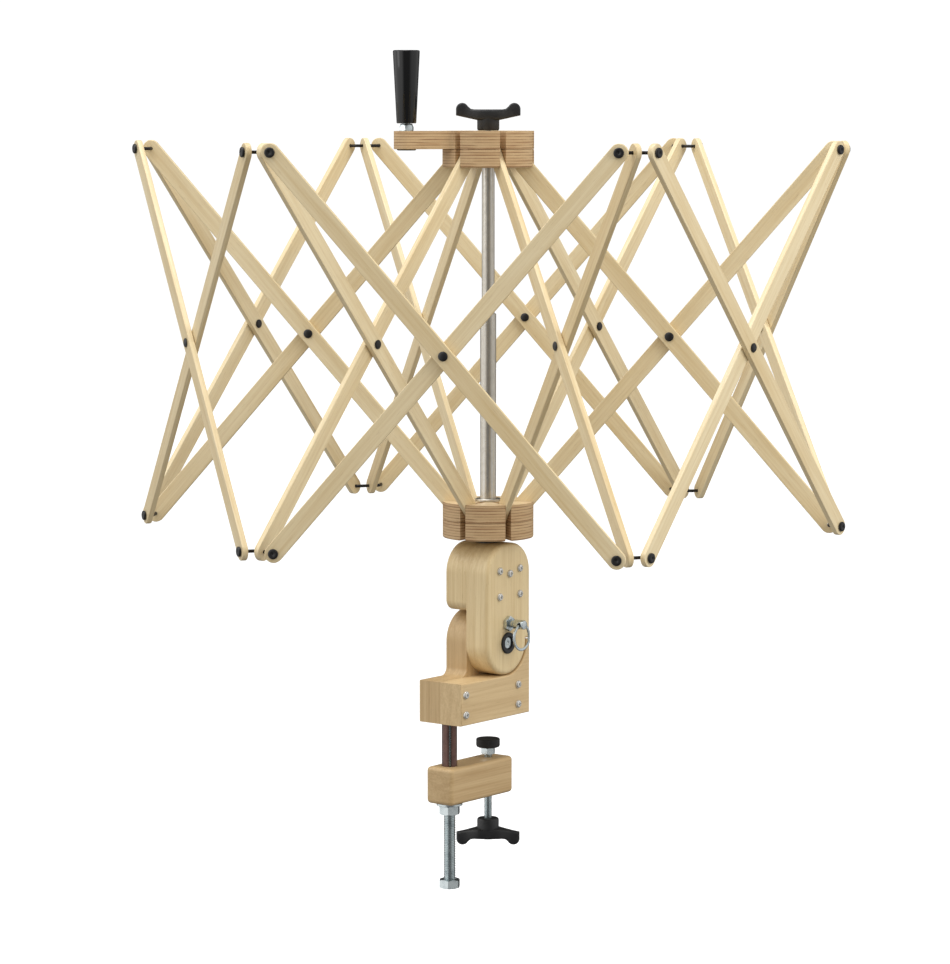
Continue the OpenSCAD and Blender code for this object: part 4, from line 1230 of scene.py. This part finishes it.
jaw_side = JAW_HALF - JAW_CORNER
jaw_half = ([(0, -JAW_FRONT)] + arc(jaw_side, -JAW_FRONT + JAW_CORNER, JAW_CORNER, -90, 0, 6)
            + arc(jaw_side, JAW_BACK - JAW_CORNER, JAW_CORNER, 0, 90, 6) + [(0, JAW_BACK)])
jaw_holes = [(0.0, 4.3), (-ROD_Y, 7.9)]
jaw_blank = mirrored_blank(jaw_half, jaw_holes)
thicken(jaw_blank, JAW_TOP - JAW_LOW)
jaw_rims = [e for e in outer_rims(jaw_blank, jaw_holes) if abs(e.verts[0].co.y - e.verts[1].co.y) < 0.01]
round_edges(jaw_blank, jaw_rims, JAW_EDGE, 5)
jaw_blank.transform(Matrix(((1, 0, 0, 0), (0, 0, 1, 0), (0, 1, 0, (JAW_TOP + JAW_LOW) / 2), (0, 0, 0, 1))))
# The jaw's tone of 0.35 is painted shade, low down below the foot.
set_grain(jaw_blank, turn(90, "X") @ move(310, 80, -40), 0.35)
build("board_clamp_jaw", [(jaw_blank, None)], [base_wood_painted_shade], "jaw", ["clamp_jaw"], weighted=True)

NUT_LOW, NUT_T = -92.8, 9.0
washer = turned([(6.3, -83.7), (12.7, -83.7), (13.0, -83.4), (13.0, -81.6), (12.7, -81.3), (6.3, -81.3)], 40,
                closed=True)
build("zinc_jaw_nut", [(hex_nut(M12_FLATS, NUT_T, ROD_R + 0.3), at_rod @ move(0, 0, NUT_LOW)), (washer, at_rod)],
      [zinc], "jaw_nut", ["jaw_nut"])

# %% Clamp screw and pad
SCREW8_R = 4.0
SCREW8_LOW, SCREW8_TOP = -122.4, -29.3
SHOE_LOW, SHOE_T = -40.8, 6.5
build("zinc_clamp_screw", [(threaded(SCREW8_R, M8_PITCH, SCREW8_LOW, SCREW8_TOP, 16), None),
                           (hex_nut(M8_FLATS, SHOE_T, SCREW8_R + 0.02), move(0, 0, SHOE_LOW))],
      [zinc], "clamp_screw", ["clamp_screw"])

PAD_R, PAD_TOP, PAD_T = 12.0, -25.0, 9.0
SOCKET_R, SOCKET_DEEP = 4.3, 5
low = PAD_TOP - PAD_T
pad = turned([(0, low + SOCKET_DEEP), (SOCKET_R, low + SOCKET_DEEP), (SOCKET_R, low), (PAD_R - 2.2, low),
              (PAD_R - 0.6, low + 0.7), (PAD_R, low + 2.2), (PAD_R, PAD_TOP - 0.8), (PAD_R - 0.8, PAD_TOP),
              (0, PAD_TOP)], 48)
build("rubber_clamp_pad", [(pad, None)], [pad_black], "pad", ["clamp_pad"])
